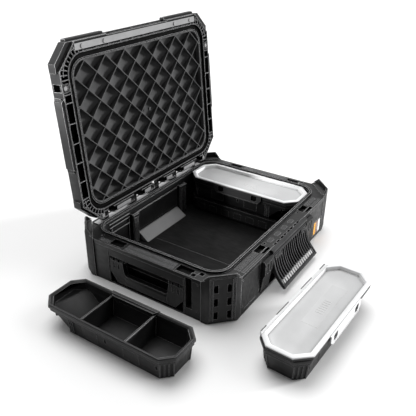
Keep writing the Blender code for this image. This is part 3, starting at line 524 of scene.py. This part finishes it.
def corner_guard(name, sx, sy):
    """Corner guard: ledge, thin upstanding lip, framed slotted face and bumper foot."""
    x_out, y_out, line = 281.5, 213, 431.8
    outline = [(x_out, line - x_out), (x_out, y_out - 40), (x_out - 40, y_out),
               (line - y_out, y_out)]

    def on_corner(points):
        return [(sx * x, sy * y) for x, y in points][::sx * sy]

    guard = Solid().prism(on_corner(outline), 0.4, 126).obj(name)
    centre = Vector((sx * (x_out - 20), sy * (y_out - 20), 0))
    local = Matrix.Translation(centre) @ Matrix.Rotation(math.atan2(sy, sx), 4, "Z")
    cut(guard, Solid().prism([(-60, 107.3), (-16.8, 107.3), (-9, 111), (-9, 112), (-60, 112)],
                             -70, 70, "XZ", local))
    inner = [(279.4, 100), (279.4, 170), (240, 209.4), (100, 209.4)]
    cut(guard, Solid().prism(on_corner(inner), 111, 160))
    ends = Solid()
    for sign in SIDES:
        ends.prism([(sign * 28.5, 127), (sign * 60, 127), (sign * 60, 106.8),
                    (sign * 43, 106.8)], -60, 30, "YZ", local)
        ends.box(-0.9, 10, *side(sign, 23, 25.5), 14, 117, local)
    for points in ([(-7, -1), (10, -1), (10, 13), (0, 13)],
                   [(-2.4, 127), (10, 127), (10, 122.8), (0, 122.8)]):
        ends.prism(points, -70, 70, "XZ", local)
    ends.box(-1.1, 10, -26, 26, 119, 121.2, local)
    for sign in SIDES:
        ends.box(-1.2, 10, *side(sign, 26.4, 28), 2, 119, local)
    cut(guard, ends, crossing=True)
    slots = Solid()
    for y in (-14.5, 14.5):
        for row in range(3):
            low = 15.5 + 34 * row
            slots.box(-15, 10, y - 4.6, y + 4.6, low, low + 20, local)
    cut(guard, slots)
    bars = Solid()
    for sign in SIDES:
        bars.box(-1, 1.3, *side(sign, 20.2, 22.2), 12, 116, local)
    bars.prism([(-20.5, 0.4), (20.5, 0.4), (18, 6), (-18, 6)], -16, -9, "YZ", local)
    piece(bars, name + "_bars", SATIN, "case", 0.25)
    piece(guard, name + "_shell", BLACK, "case", 0.6, name)


# ======================================================================= lid, closed frame
STRIP_SCREWS = (-199, -130.5, 130.5, 199)
TOWERS = (("far_left", -190, 18), ("left", -88, 30), ("centre", 0, 44),
          ("right", 88, 30), ("far_right", 190, 18))
LID_TOP = 137.8
RIM = 2.6


def crown_line(grow=0):
    """Outline of the lid's crown, which follows the hinge side more closely."""
    x, y, cut_by = 279 + grow, 207 + grow, 38 + grow * 0.4
    right = [(x - cut_by, -y), (x, -y + cut_by), (x, 157), (x - cut_by - 2, 197 + grow), (212, y)]
    return right + [(-a, b) for a, b in reversed(right)]


def low_line(shrink=0):
    """Outline of the lid at its parting edge."""
    return octagon(275 - shrink, 206 - shrink, 52.5 - shrink * 0.6)


def lid_shell():
    """Lid with a stepped rim, grooved top, ribbed outer pocket and seal channel."""
    lid = Solid().prism(low_line(), PARTING, 114.5).obj("lid")
    add(lid, Solid().loft([[(x, y, z) for x, y in crown_line(grow)] for grow, z in (
        (0, 112.5), (0, LID_TOP - 4.5), (-4.5, LID_TOP))]))
    waist = Solid()
    for sign in SIDES:
        for y0, y1 in ((-150, -98.5), (69.5, 141)):
            waist.box(*side(sign, 275, 300), y0, y1, 100, 150)
    cut(lid, waist)
    bands = Solid()
    for sign in SIDES:
        bands.prism([(sign * 270, -98), (sign * 282, -92), (sign * 282, 60),
                     (sign * 270, 69)][::sign], 109, LID_TOP - 5)
    add(lid, bands)
    for grow in (0, 9):
        cut(lid, ring_solid(rounded(226 + grow, 150 + grow, 40 + grow),
                            rounded(223.6 + grow, 147.6 + grow, 37.6 + grow),
                            LID_TOP - 1.3, LID_TOP + 9))
    grooves = Solid()
    for k in range(6):
        grooves.prism(pill(0, -75 + 30 * k, 300, 5), LID_TOP - 1.2, LID_TOP + 9)
    cut(lid, grooves)
    # deep pocket between the outer skin and the seal channel
    cut(lid, cut_ring(low_line(RIM), rounded(253.8, 183.8, 46.5), 100, LID_TOP - 3.4))
    cut(lid, Solid().prism(rounded(237, 167, 37), 90, LID_TOP - 3))
    cut(lid, ring_solid(rounded(251.7, 190, 46, low=-181.7), rounded(240.3, 170.3, 37), 90, 117))
    cut(lid, Solid().prism(rounded(240.4, 170.4, 37), 90, 110.6))
    notch = Solid()
    for _, x, wide in TOWERS:
        notch.box(x - wide / 2 - 0.7, x + wide / 2 + 0.7, 188.5, 300, 80, 200)
    cut(lid, notch)
    add(lid, lid_ribs(), crossing=True)
    side_notch = Solid()
    for sign in SIDES:
        side_notch.box(*side(sign, 262, 300), -126.5, -110.5, 117.5, 134)
        side_notch.box(*side(sign, 270.9, 300), -126.5, -110.5, 109, 118)
    side_notch.box(-118, 105, -300, -203.8, 100, 128)
    cut(lid, side_notch, crossing=True)
    seats = Solid()
    seats.box(-222, 222, -240, -186, 90, 111.8)
    for sign in SIDES:
        seats.rod("Z", (sign * 265, -118, PARTING), 5.2, 4.4, 20)
        seats.rod("Z", (sign * 265, -118, PARTING + 5), 2.3, 12, 12)
    for x in STRIP_SCREWS:
        seats.rod("Z", (x, -193.5, 116), 2.3, 14, 12)
    for _, x, wide in TOWERS:
        seats.rod("X", (x, HINGE_Y, HINGE_Z), PIN_BORE, wide + 22, 16)
    cut(lid, seats, crossing=True)
    piece(lid, "lid_body", BLACK, "lid", 0.5, "lid_shell")


def lid_ribs():
    """Ribs across the lid's outer pocket, fanned at the corners."""
    s = Solid()
    top = LID_TOP - 2
    for sign in SIDES:
        for y in (-86, -41, 4, 49, 94, 136, -134, -104):
            s.box(*side(sign, 252.5, 273.5), y - 0.9, y + 0.9, PARTING + 0.4, top)
        s.box(*side(sign, 256.5, 273.5), -127, -109, PARTING, 117)
    for k in range(11):
        x = -200 + 40 * k
        s.box(x - 0.9, x + 0.9, -204.5, -182.6, PARTING + 0.4, top)
    s.box(-222, 222, -204.5, -183, 111.8, 117.5)
    for x0, x1 in ((-212, -199.6), (-179, -104), (-72, -23), (23, 72), (104, 179), (199.6, 212)):
        s.box(x0, x1, 189, 191.4, PARTING + 0.4, top)
    for sx in SIDES:
        for sy in SIDES:
            cx, cy = sx * (249 - 43), sy * (179 - 43)
            for k in range(8):
                turn = math.radians(8 + 74 * k / 7)
                out = Vector((sx * math.cos(turn), sy * math.sin(turn), 0))
                a = Vector((cx, cy, 0)) + out * 47
                reach = min((272.5 - abs(a.x)) / max(abs(out.x), 0.02),
                            (203.5 - abs(a.y)) / max(abs(out.y), 0.02),
                            (425.5 - abs(a.x) - abs(a.y)) / (abs(out.x) + abs(out.y)))
                turn_z = Matrix.Rotation(math.atan2(out.y, out.x), 4, "Z")
                s.box(-1, reach, -0.9, 0.9, PARTING + 1, top, Matrix.Translation(a) @ turn_z)
            band = arc(0, 0, 58.5, 4, 78, 13) + arc(0, 0, 60, 4, 78, 13)[::-1]
            s.prism([(cx + sx * x, cy + sy * y) for x, y in band], PARTING + 1.6, top)
    return s


def channel_walls():
    """The two thin raised lines along the seal channel."""
    for name, x, r, inner_r, low in (("channel_outer", 253.8, 46.5, 45.4, PARTING),
                                     ("channel_inner", 239.6, 36.6, 35.4, 110.65)):
        wall = ring_solid(rounded(x, x - 70, r), rounded(x - 1.4, x - 71.4, inner_r), low, 118)
        piece(wall, name, SATIN, "lid", 0.3)


def lattice():
    """Liner of diagonal ribs over scooped cells, one scoop to a diamond."""
    px, py, row0 = 33, 31.7, -163.5
    face, back, deep, rib = 110.6, 132, 14, 0.95
    grid = range(13)
    liner = Solid()
    bm = liner.bm
    keep = 1 - rib * math.hypot(1 / px, 1 / py)

    def vertex(x, y, z):
        return bm.verts.new((x * MM, y * MM, z * MM))

    for j in range(-1, 12):
        for i in range(-1, 16):
            if (i + j) % 2:
                continue
            cx, cy = (i - 7) * px, row0 + j * py
            corner = [(cx + px, cy), (cx, cy + py), (cx - px, cy), (cx, cy - py)]
            inner = [(cx + (x - cx) * keep, cy + (y - cy) * keep) for x, y in corner]
            outer_v = [vertex(x, y, face) for x, y in corner]
            inner_v = [vertex(x, y, face) for x, y in inner]
            for k, n in enumerate((1, 2, 3, 0)):
                bm.faces.new((outer_v[k], outer_v[n], inner_v[n], inner_v[k]))
            rows = []
            for u in (a / grid[-1] for a in grid):
                row = []
                for v in (b / grid[-1] for b in grid):
                    shares = ((1 - u) * (1 - v), u * (1 - v), u * v, (1 - u) * v)
                    x, y = (sum(p[c] * w for p, w in zip(inner, shares)) for c in (0, 1))
                    scoop = deep * max(0, 1 - ((x - cx) / px) ** 2)
                    row.append(vertex(x, y, face + 0.9 + scoop))
                rows.append(row)
            for a, b in ((a, b) for a in grid[:-1] for b in grid[:-1]):
                bm.faces.new((rows[a][b], rows[a + 1][b], rows[a + 1][b + 1], rows[a][b + 1]))
            sides = ([row[0] for row in rows], rows[-1], [row[-1] for row in rows[::-1]],
                     rows[0][::-1])
            for edge_row, k, n in zip(sides, (0, 1, 2, 3), (1, 2, 3, 0)):
                bm.faces.new([inner_v[k], inner_v[n]] + edge_row[::-1])
    bmesh.ops.remove_doubles(bm, verts=bm.verts, dist=1e-6)
    border = [e for e in bm.edges if len(e.link_faces) == 1]
    made = bmesh.ops.extrude_edge_only(bm, edges=border)
    for v in made["geom"]:
        if isinstance(v, bmesh.types.BMVert):
            v.co.z = back * MM
    rim = [e for e in bm.edges if len(e.link_faces) == 1]
    bmesh.ops.contextual_create(bm, geom=rim)
    bmesh.ops.recalc_face_normals(bm, faces=bm.faces)
    obj = liner.obj("lattice")
    join_solid(obj, Solid().prism(rounded(236.4, 166.4, 36), 100, 131), "INTERSECT")
    piece(obj, "lattice_liner", LINER, "lid", replaces="lid_lattice", smooth=40)
    trim = ring_solid(rounded(236.2, 166.2, 36), rounded(234.6, 164.6, 34.6), 110.7, 124)
    piece(trim, "lattice_trim", LINER, "lid", 0.2)
    dots = Solid()
    for j in range(1, 11, 2):
        for i in (0, 14):
            dots.rod("Z", ((i - 7) * px, row0 + j * py, 112.5), 3, 3.6, 12, 3.6)
    dots.rod("Z", (0, row0 + 5 * py, 112.8), 4.2, 4.2, 16, 5)
    for i in range(1, 14):
        dots.rod("Z", ((i - 7) * px, row0 + (0 if i % 2 else 1) * py, 112), 2.4, 2.6, 10, 2.8)
    piece(dots, "lattice_bosses", LINER, "lid", 0.3)


def front_tabs():
    """Raised tabs at both ends of the lid's front edge and the stepped rails between."""
    s = Solid()
    for x0, x1 in ((-232, -118), (105, 232)):
        s.prism([(-205, 122), (-210.5, 122.5), (-212.4, 124.5), (-212.4, 134.5),
                 (-210, 136.8), (-205, 136.8)], x0, x1, "YZ")
    for x0, x1 in ((-96, -52), (-22, 20), (48, 92)):
        s.prism([(-203, 119), (-205, 120), (-205, 126), (-203, 127)], x0, x1, "YZ")
    piece(s, "lid_front_tabs", BLACK, "lid", 0.5)
    painted_shade_boxes = Solid()
    for x0, x1 in ((-232, -120), (107, 232)):
        painted_shade_boxes.box(x0, x1, -206.6, -205.5, 113, 121.8)
    piece(painted_shade_boxes, "lid_tab_shadow", PAINTED_SHADOW_BLACK, "lid")


# ================================================================================ hinge
def hinge_parts():
    """Blocks on the case, knuckles between them on the lid and steel leaves beside those."""
    low = 104.5
    bores = Solid()
    knuckles = Solid()
    for name, x, wide in TOWERS:
        s = Solid()
        half = wide / 2
        block = arc(HINGE_Y, HINGE_Z, BARREL, 0, 180, 12) + [
            (190.8, low), (207.2, low), (207.2, 109.5), (202, 117)]
        if name == "centre":
            s.prism(block, -half, -half + 9, "YZ")
            s.prism(block, half - 9, half, "YZ")
            lower = [(191, low), (207, low), (207, 112), (198, 118), (191.5, 112)]
            s.prism(lower, -half + 8.5, half - 8.5, "YZ")
            s.box(-4, 4, 191.5, 200, 108, 124)
        else:
            s.prism(block, x - half, x + half, "YZ")
            for web in (x - half * 0.45, x + half * 0.45):
                s.prism([(191.4, low), (206.6, low), (206.6, 111), (191.4, 120)],
                        web - 1.6, web + 1.6, "YZ")
        obj = s.obj("tower")
        if name != "centre":
            cut(obj, Solid().rod("X", (x, HINGE_Y, HINGE_Z), PIN_BORE, wide + 4, 20),
                crossing=True)
        piece(obj, f"hinge_block_{name}", BLACK, "case", 0.5, f"hinge_tower_{name}")
        for middle in (x - half - 5.9, x + half + 5.9):
            knuckles.rod("X", (middle, HINGE_Y, HINGE_Z), BARREL, 10, 20)
            knuckles.box(middle - 5, middle + 5, HINGE_Y - 4, HINGE_Y + 5.4, HINGE_Z, LID_TOP - 2)
        bores.rod("X", (x, HINGE_Y, HINGE_Z), PIN_BORE, wide + 24, 20)
    obj = knuckles.obj("knuckles")
    cut(obj, bores, crossing=True)
    piece(obj, "lid_knuckles", BLACK, "lid", 0.4)
    leaves = Solid()
    for near, far in ((212, 221), (116, 168), (35, 60)):
        for sign in SIDES:
            leaves.box(*side(sign, near, far), HINGE_Y - 1, HINGE_Y + 8.5, PARTING + 0.8,
                       PARTING + 2.2)
    piece(leaves, "hinge_leaves", STEEL, "lid", 0.3)


# ============================================================================== handles
def side_handle(tag, sign):
    """Hanging grip: two slotted knuckles on tapering arms, joined by a rounded bar."""
    axis_x, x_out = sign * GRIP_X, GRIP_X + 7.6
    outline = [(-103, 66), (-103, 34), (-83, 8), (83, 8), (103, 34), (103, 66), (66, 66), (62, 40),
               (57, 34), (-57, 34), (-62, 40), (-66, 66)]
    handle = Solid().prism(outline, *side(sign, GRIP_X - 4.5, x_out), "YZ").obj("handle")
    knuckles = Solid()
    for end in SIDES:
        for k in range(3):
            knuckles.rod("Y", (axis_x, end * (69.5 + 14.6 * k), GRIP_Z), 7.5, 8.6, 24)
    add(handle, knuckles)

    def bulge(reach, value):
        return reach * math.copysign(abs(value) ** 0.55, value)

    round_bar = [
        [(axis_x + sign * 1.2 + bulge(half_x, x), y, 20.6 + bulge(half_z, z))
         for x, z in arc(0, 0, 1, 0, 360, 24)[:-1]]
        for y, half_x, half_z in ((-60, 7, 11.4), (-56, 8.6, 12.1), (56, 8.6, 12.1),
                                  (60, 7, 11.4))]
    add(handle, Solid().loft(round_bar))
    cuts = Solid().rod("Y", (axis_x, 0, GRIP_Z), PIN_BORE, 220, 20)
    for end in SIDES:
        for y in (76.8, 91.4):
            cuts.prism(pill(54, end * y, 14, 5.4), *side(sign, x_out - 1.6, x_out + 6.4), "ZY")
    cut(handle, cuts)
    piece(handle, f"{tag}_handle_grip", BLACK, f"{tag}_handle", 0.7, f"{tag}_handle")
    back = Solid()
    a, b = side(sign, 256, 259)
    for y in (-96, -70, 70, 96):
        back.box(a, b, y - 1.4, y + 1.4, 5, 74)
    for z in (20, 46):
        back.box(a, b, -66, 66, z, z + 2)
    piece(back, f"{tag}_recess_ribs", BLACK, "case", 0.4)


# ================================================================================ latch
def latch_curve(s):
    """Offset (y, z) of the lever's face a fraction s of the way down: in, then out."""
    return 7 * math.sin(math.pi * min(1, s * 1.02)) ** 1.4, -82 * s


def latch_band(front, back, first, last, steps=10):
    """Side view of a band along the lever's face, between two depths."""
    spots = [latch_curve(first + (last - first) * k / steps) for k in range(steps + 1)]
    return ([(LATCH_Y + dy + front, LATCH_Z + dz) for dy, dz in spots]
            + [(LATCH_Y + dy + back, LATCH_Z + dz) for dy, dz in reversed(spots)])


def front_latch():
    """Comb lever: curved web behind proud ribs, open windows above a round lip."""
    y0, z0, half = LATCH_Y, LATCH_Z, LATCH_HALF
    count = 17
    pitch = (2 * half - 9) / count
    # the web is near black: painted shade in the gaps between the ribs
    web = Solid().prism(latch_band(1.6, 4, 0.04, 0.78), -half + 2, half - 2, "YZ")
    piece(web, "latch_web", PAINTED_SHADOW_BLACK, "front_latch", replaces="front_latch")
    ribs = Solid()
    bars = Solid()
    for k in range(count + 1):
        x = -half + 4.5 + pitch * k
        wide, proud = (1.5, -2.4) if 5 < k < 12 else (1.8, -3.8)
        ribs.prism(latch_band(proud, 3.2, 0.03, 0.80), x - wide, x + wide, "YZ")
        bars.prism(latch_band(-1.6, 0.8, 0.795, 0.97, 4), x - 2.4, x + 2.4, "YZ")
    for sign in SIDES:
        ribs.prism(latch_band(-4.8, 4.6, 0.03, 0.97, 12), *side(sign, half, half - 3), "YZ")
    # lower bars in pale grey: painted highlight
    piece(bars, "latch_bars", BARS_PAINTED_HIGHLIGHT, "front_latch", 0.2)
    piece(ribs, "latch_ribs", COMB, "front_latch", 0.3)
    lip = Solid().rod("X", (0, y0 - 1.6, z0 - 81.4), 4.6, 2 * half, 18)
    piece(lip, "latch_lip", COMB, "front_latch", 0.5)
    head = Solid().prism([(y0 - 5.2, z0 - 3), (y0 - 5.2, z0 + 3), (y0 - 3.2, z0 + 4.8),
                          (y0 + 3.2, z0 + 4.8), (y0 + 4.8, z0 + 3), (y0 + 4.8, z0 - 4.2),
                          (y0 - 2, z0 - 5)], -half, half, "YZ").obj("head")
    cut(head, Solid().rod("X", (0, y0, z0), PIN_BORE, 2 * half + 20, 20))
    piece(head, "latch_head", COMB, "front_latch", 0.5)
    teeth = Solid()
    for sign in SIDES:
        for k in range(6):
            x = sign * (half - 7 - 5.2 * k)
            teeth.prism([(y0 - 4.6, z0 - 2.6), (y0 - 3.6, z0 - 13), (y0 - 5.6, z0 - 12),
                         (y0 - 6.8, z0 - 2)], x - 1.2, x + 1.2, "YZ")
    piece(teeth, "latch_teeth", BLACK, "front_latch", 0.2)


def latch_cheeks():
    """Curved cheeks with slots beside the lever."""
    back, front = -196.3, -223.6
    for tag, sign in HANDS:
        profile = [(back, 5.4), (back, 95.1), (front + 5, 95.1), (front, 90), (front, 60),
                    (front + 4, 52), (front + 9, 12), (front + 12.5, 5.4)]
        cheek = Solid().prism(profile, *side(sign, 90.8, 130.7), "YZ").obj("cheek")
        cuts = Solid()
        for x in (104.5, 118):
            cuts.prism(pill(74, sign * x, 27, 5.6), -240, -216, "ZX")
        cuts.rod("Y", (sign * 108, -218, 16), 3, 12, 16)
        cut(cheek, cuts)
        cut(cheek, Solid().rod("X", (sign * 100, LATCH_Y, LATCH_Z), PIN_BORE, 20.6, 20))
        piece(cheek, f"latch_cheek_{tag}_body", BLACK, "case", 0.6, f"latch_cheek_{tag}")


# ================================================================================= bins
CATCHES = (-52, 52)
LUGS = ((-145, -119), (-78, -28), (28, 78), (119, 138.5))
FOLD = 49.5


def tub_rings(g, top_z, low_z):
    """Rings of a bin body, grown by g, from floor to rim; the -Y end climbs as a ramp."""
    sizes = ((44.8, 153.5, 18, -103, low_z), (45.8, 155.4, 19.5, -107, max(low_z, 1.8)),
             (48.6, 159.5, 21, -144, 33.5), (49, 160.2, 21.5, -160, 37.5),
             (50, 162, 22, -162.6, top_z))
    return [[(u, v, z) for u, v in octagon(x + g, y + g, c, low - g)] for x, y, c, low, z in sizes]


def bin_tub(tag, lugs=False):
    """Tub with a stepped rim, clip ledge, corner ribs, ramp shelf and hinge lugs."""
    tub = Solid().loft(tub_rings(0, 57, 0)).obj("tub")
    add(tub, Solid().stack((
        (50.6, 162.6, 22.2, 40.4), (52.6, 164.6, 22.8, 41.6), (52.6, 164.6, 22.8, 46.2),
        (51.6, 163.6, 22.5, 46.6), (51.6, 163.6, 22.5, 48), (54, 166, 23.3, 48.6),
        (55.4, 167.4, 24, 49.6), (55.4, 167.4, 24, 55.8), (53.6, 165.6, 23.2, 58))))
    ledge = Solid().prism([(-55.2, -62), (-47, -58), (-42.5, -54), (-42.5, 54),
                           (-47, 58), (-55.2, 62)], 47, 57.2)
    cut(tub, Solid().loft(tub_rings(-2.4, 70, 2.6)))
    cut(tub, Solid().stack(((47, 159, 20.6, 54.4), (51.4, 163.4, 22.3, 58.4), (56, 168, 24, 63))))
    add(tub, ledge)
    slots = Solid()
    # near-black plugs just inside the slots: painted shade
    shade_plugs = Solid()
    for sign in SIDES:
        for y, z in ((-131, 34), (4, 26), (132, 26)):
            slots.prism(pill(z, y, 11.5, 5.6), *side(sign, 47, 70), "ZY")
            shade_plugs.prism(pill(z, y, 11.3, 5.4), *side(sign, 46.4, 47.1), "ZY")
    cut(tub, slots)
    piece(shade_plugs, f"{tag}_slot_painted_shade", PAINTED_SHADOW_BLACK, tag)
    details = Solid()
    for sign in SIDES:
        for y in (-94, -88.5, -83):
            details.prism([(sign * 44.6, 2), (sign * 47.4, 2), (sign * 50.8, 39),
                           (sign * 47.6, 39)], y - 1.3, y + 1.3, "XZ")
        for y in (-36, 70):
            details.prism([(sign * 45.2, 9), (sign * 47.3, 9), (sign * 49.9, 38),
                           (sign * 47.6, 38)], y - 20, y + 20, "XZ")
        for k in range(4):
            turn = Matrix.Translation((sign * (47.5 - 6.1 * k), 140 + 6.1 * k, 0))
            turn @= Matrix.Rotation(math.radians(90 - 45 * sign), 4, "Z")
            details.prism([(-5.3, 1.6), (-2.4, 1.6), (2.2, 41.5), (-0.9, 41.5)], -1.5, 1.5,
                          "XZ", turn)
    piece(details, f"{tag}_ribs", TUB, tag, 0.5)
    if lugs:
        # near-black pads behind the clip's windows: painted shade
        painted_shade_boxes = Solid()
        for y in CATCHES:
            painted_shade_boxes.box(-56.6, -55.2, y - 10, y + 10, 44, 57.6)
        piece(painted_shade_boxes, f"{tag}_catch_painted_shade", PAINTED_SHADOW_BLACK, tag)
        lug = Solid()
        for y0, y1 in LUGS:
            lug.box(55.1, 57.4, y0, y1, 50.5, 65.9)
        piece(lug, f"{tag}_hinge_lugs", TUB, tag)
    piece(tub, f"{tag}_tub", TUB, tag, 0.45, tag)


def open_bin_insides():
    """Two dividers, the guides that hold them and the ledge on the rim."""
    guides = Solid()
    for k, y in enumerate((-59, 56)):
        wall = Solid()
        wall.prism([(-42.6, 3), (42.6, 3), (46.6, 52.6), (-46.6, 52.6)], y - 1.3, y + 1.3, "XZ")
        wall.prism([(-46.4, 50), (46.4, 50), (46.4, 53), (-46.4, 53)], y - 2.2, y + 2.2, "XZ")
        piece(wall, f"divider_{k + 1}_wall", TUB, f"open_bin_divider_{k + 1}", 0.5,
              f"open_bin_divider_{k + 1}")
        for sign in SIDES:
            for step in (-3.4, 3.4):
                guides.prism([(sign * 43.6, 3), (sign * 41.4, 3), (sign * 44.8, 49),
                              (sign * 48.2, 49)], y + step - 0.9, y + step + 0.9, "XZ")
    ledge = Solid().prism([(-55.2, -64), (-47.2, -60), (-47.2, 60), (-55.2, 64)], 55, 59.6)
    piece(ledge, "open_bin_ledge", SATIN, "open_bin", 0.4)
    piece(guides, "open_bin_guides", TUB, "open_bin", 0.3)


def bin_lid(tag, flap):
    """Frosted folding lid: raised border, sunken well, hinge slots and short ribs."""
    body = f"{tag}_lid"
    beyond_fold = (FOLD - 0.15, 120, -300, 300, 0, 90)
    lid = Solid().stack((
        (44.9, 156.4, 22.6, 55.2), (46.6, 158.1, 23.6, 62.9), (57, 168.3, 28.8, 62.9),
        (57.5, 168.8, 29, 63.4), (57.5, 168.8, 29, 65.2), (56.6, 167.9, 28.6, 66),
        (48.2, 159.5, 24.6, 66), (47.2, 158.5, 24.1, 65.2), (45.6, 156.9, 23.2, 57.8),
        (44.6, 155.9, 22.8, 57))).obj("lid")
    cut(lid, Solid().box(*beyond_fold))
    piece(lid, f"{tag}_lid_frame", LID_WHITE, body, 0.3, f"{tag}_lid")
    skirt = ring_solid(octagon(57, 168.3, 28.8), octagon(47.1, 158.5, 23.8), 58.4, 62.8)
    skirt = skirt.obj("skirt")
    cut(skirt, Solid().box(*beyond_fold))
    piece(skirt, f"{tag}_lid_skirt", TUB, body, 0.3)
    panel = Solid().stack(((44.4, 155.7, 22.7, 57.05), (44.4, 155.7, 22.7, 57.4),
                           (43.6, 154.9, 22.4, 57.7)))
    panel.box(-24, 12, -92, 58, 57.5, 57.9)
    for k in range(7):
        y = -34 + 7.5 * k
        panel.box(-14, 2, y - 2.6, y + 2.6, 57.8, 58.2)
    piece(panel, f"{tag}_lid_panel", LID_PANEL, body, 0.15)
    strip = Solid().loft([
        [(FOLD + 0.3, -a, z), (x, -b, z), (x, b, z), (FOLD + 0.3, a, z)]
        for a, b, x, z in ((147, 139.5, 57.3, 58.4), (147.5, 139.8, 57.5, 59),
                           (147.5, 139.8, 57.5, 64.8), (146.2, 139, 56.3, 66))]).obj("strip")
    notch = Solid()
    for y0, y1 in LUGS:
        notch.box(54.9, 70, y0 - 0.6, y1 + 0.6, 50, 80)
    cut(strip, notch)
    piece(strip, f"{tag}_hinge_edge", LID_WHITE, tag, 0.3, f"{tag}_hinge_strip")
    clip = Solid().prism([(73.5, 65), (73.5, 50), (65, 40.6), (-65, 40.6), (-73.5, 50),
                          (-73.5, 65)], -61.4, -58.2, "YZ").obj("clip")
    windows = Solid()
    for y in CATCHES:
        windows.prism([(y - 9, 49), (y - 2, 44.5), (y + 9, 46), (y + 9, 60),
                       (y + 2, 64), (y - 9, 63)], -80, -40, "YZ")
    cut(clip, windows)
    add(clip, Solid().box(-62.2, -59, -64, 64, 40.2, 42.6))
    piece(clip, f"{tag}_clip_flap", flap, f"{tag}_clip", 0.4, f"{tag}_clip")


def lower_tray():
    """Plain tray with a thicker rim and ribs along one side."""
    tray = Solid().stack(((53, 165, 23, 6.8), (54.3, 166.3, 23.8, 9), (54.3, 166.3, 23.8, 38),
                          (54.5, 166.5, 24, 38.5), (54.5, 166.5, 24, 43.5))).obj("tray")
    cut(tray, Solid().prism(octagon(47.5, 155.5, 21), 9.2, 60))
    ribs = Solid()
    for y in range(-120, 121, 40):
        ribs.box(-54.4, -53.4, y - 12, y + 12, 14, 32)
    add(tray, ribs)
    piece(tray, "tray_body", TUB, "lower_tray", 0.5, "lower_tray")


# ============================================================================== assembly
base_shell()
flange_pads()
wall_details()
for end, guard_y in (("front", -1), ("rear", 1)):
    for hand, guard_x in HANDS:
        corner_guard(f"corner_guard_{end}_{hand}", guard_x, guard_y)
lid_shell()
channel_walls()
lattice()
front_tabs()
hinge_parts()
for hand, hand_sign in HANDS:
    side_handle(hand, hand_sign)
front_latch()
latch_cheeks()
bin_tub("case_bin", lugs=True)
bin_tub("open_bin")
bin_tub("floor_bin", lugs=True)
open_bin_insides()
bin_lid("case_bin", LID_SMOKE)
bin_lid("floor_bin", LID_WHITE)
lower_tray()

for node, obj in NODES.items():
    if "pin" in node or "screw" in node or node in ("strike_strip", "hinge_plate"):
        paint(obj, STEEL)
for node, finish_of in {"floor_mat_small": MAT_RUBBER, "floor_mat_large": MAT_RUBBER,
                        "lid_seal": SEAL_RUBBER, "rear_wedge": WEDGE,
                        "indicator_bezel": BLACK, "indicator_yellow": YELLOW,
                        "indicator_rose": ROSE, "indicator_white": WHITE}.items():
    paint(NODES[node], finish_of)


# ================================================================================ studio
FLOOR_SEEN, FLOOR_BOUNCE, FLOOR_MIRRORED = 0.97, 0.34, 0.85
WALLS_SEEN, WALLS_DIM, WALLS_BRIGHT = 1.05, 0.04, 0.64


def light(name, kind, look, power, spot=(0.0, 0.0, 0.0), shine=True, **settings):
    """Light that faces along look; shine says whether glossy surfaces mirror it."""
    data = bpy.data.lights.new(name, kind)
    data.energy = power
    for key, value in settings.items():
        setattr(data, key, value)
    source = link(bpy.data.objects.new(name, data))
    source.location = spot
    source.rotation_mode = "QUATERNION"
    source.rotation_quaternion = Vector(look).to_track_quat("-Z", "Y")
    source.visible_glossy = shine


def studio():
    """White floor and backdrop; the surroundings are brighter behind the case."""
    floor = Solid().box(-9000, 9000, -9000, 9000, -20.0, 0.0).obj("floor")
    mat, tree, shader = new_material("floor_white")
    seen = add_node(tree, "LightPath")
    # white to the camera, a little darker in reflections, grey as a source of bounced light
    bright = add_node(tree, "Math", {0: seen["Is Glossy Ray"], 1: FLOOR_MIRRORED,
                                     2: seen["Is Camera Ray"]}, operation="MULTIPLY_ADD")
    tones = [(level, level, level, 1) for level in (FLOOR_BOUNCE, FLOOR_SEEN)]
    feed(tree, shader, {"Roughness": 0.8, "Specular IOR Level": 0.1,
                        "Base Color": blend(tree, bright["Value"], *tones)})
    floor.data.materials.append(mat)
    world = bpy.data.worlds.new("studio")
    world.use_nodes = True
    tree = world.node_tree
    towards = Vector((0.80, 0.45, 0.40)).normalized()
    dot = add_node(tree, "VectorMath", {0: add_node(tree, "TexCoord")["Generated"], 1: towards},
                   operation="DOT_PRODUCT")
    walls = ramp(tree, dot["Value"], WALLS_DIM, WALLS_BRIGHT, (-0.6, 0.9))
    glow = add_node(tree, "Mix", {"Factor": add_node(tree, "LightPath")["Is Camera Ray"],
                                  "A": walls, "B": WALLS_SEEN})
    feed(tree, tree.nodes["Background"], {"Strength": glow["Result"], "Color": (1, 1, 1, 1)})
    bpy.context.scene.world = world
    light("key", "SUN", (-0.78, 0.61, -0.12), 5.0, shine=False, angle=math.radians(9.0))
    light("sheen", "SUN", (-0.50, 0.72, -0.62), 0.6, angle=math.radians(30.0))
    light("top", "SUN", (-0.30, -0.35, -1.0), 2.1, angle=math.radians(50.0))
    light("side", "AREA", (1.6, -0.53, -0.43), 1.1, (-1.9, 0.80, 0.90), shape="SQUARE", size=0.16,
          spread=math.radians(18.0))


def camera():
    """Camera at the left front, above the rim of the case."""
    data = bpy.data.cameras.new("camera")
    data.sensor_width = 36.0
    data.lens = 46.889
    cam = link(bpy.data.objects.new("camera", data))
    cam.location = (-1.0355, -0.6518, 0.7679)
    yaw, pitch, roll = (math.radians(a) for a in (57.226, 28.390, 0.752))
    look = Vector((math.sin(yaw) * math.cos(pitch), math.cos(yaw) * math.cos(pitch),
                   -math.sin(pitch)))
    cam.rotation_mode = "QUATERNION"
    cam.rotation_quaternion = look.to_track_quat("-Z", "Y") @ Matrix.Rotation(
        roll, 3, "Z").to_quaternion()
    data.clip_end = 60.0
    bpy.context.scene.camera = cam


studio()
camera()
bpy.context.scene.view_settings.view_transform = "Standard"
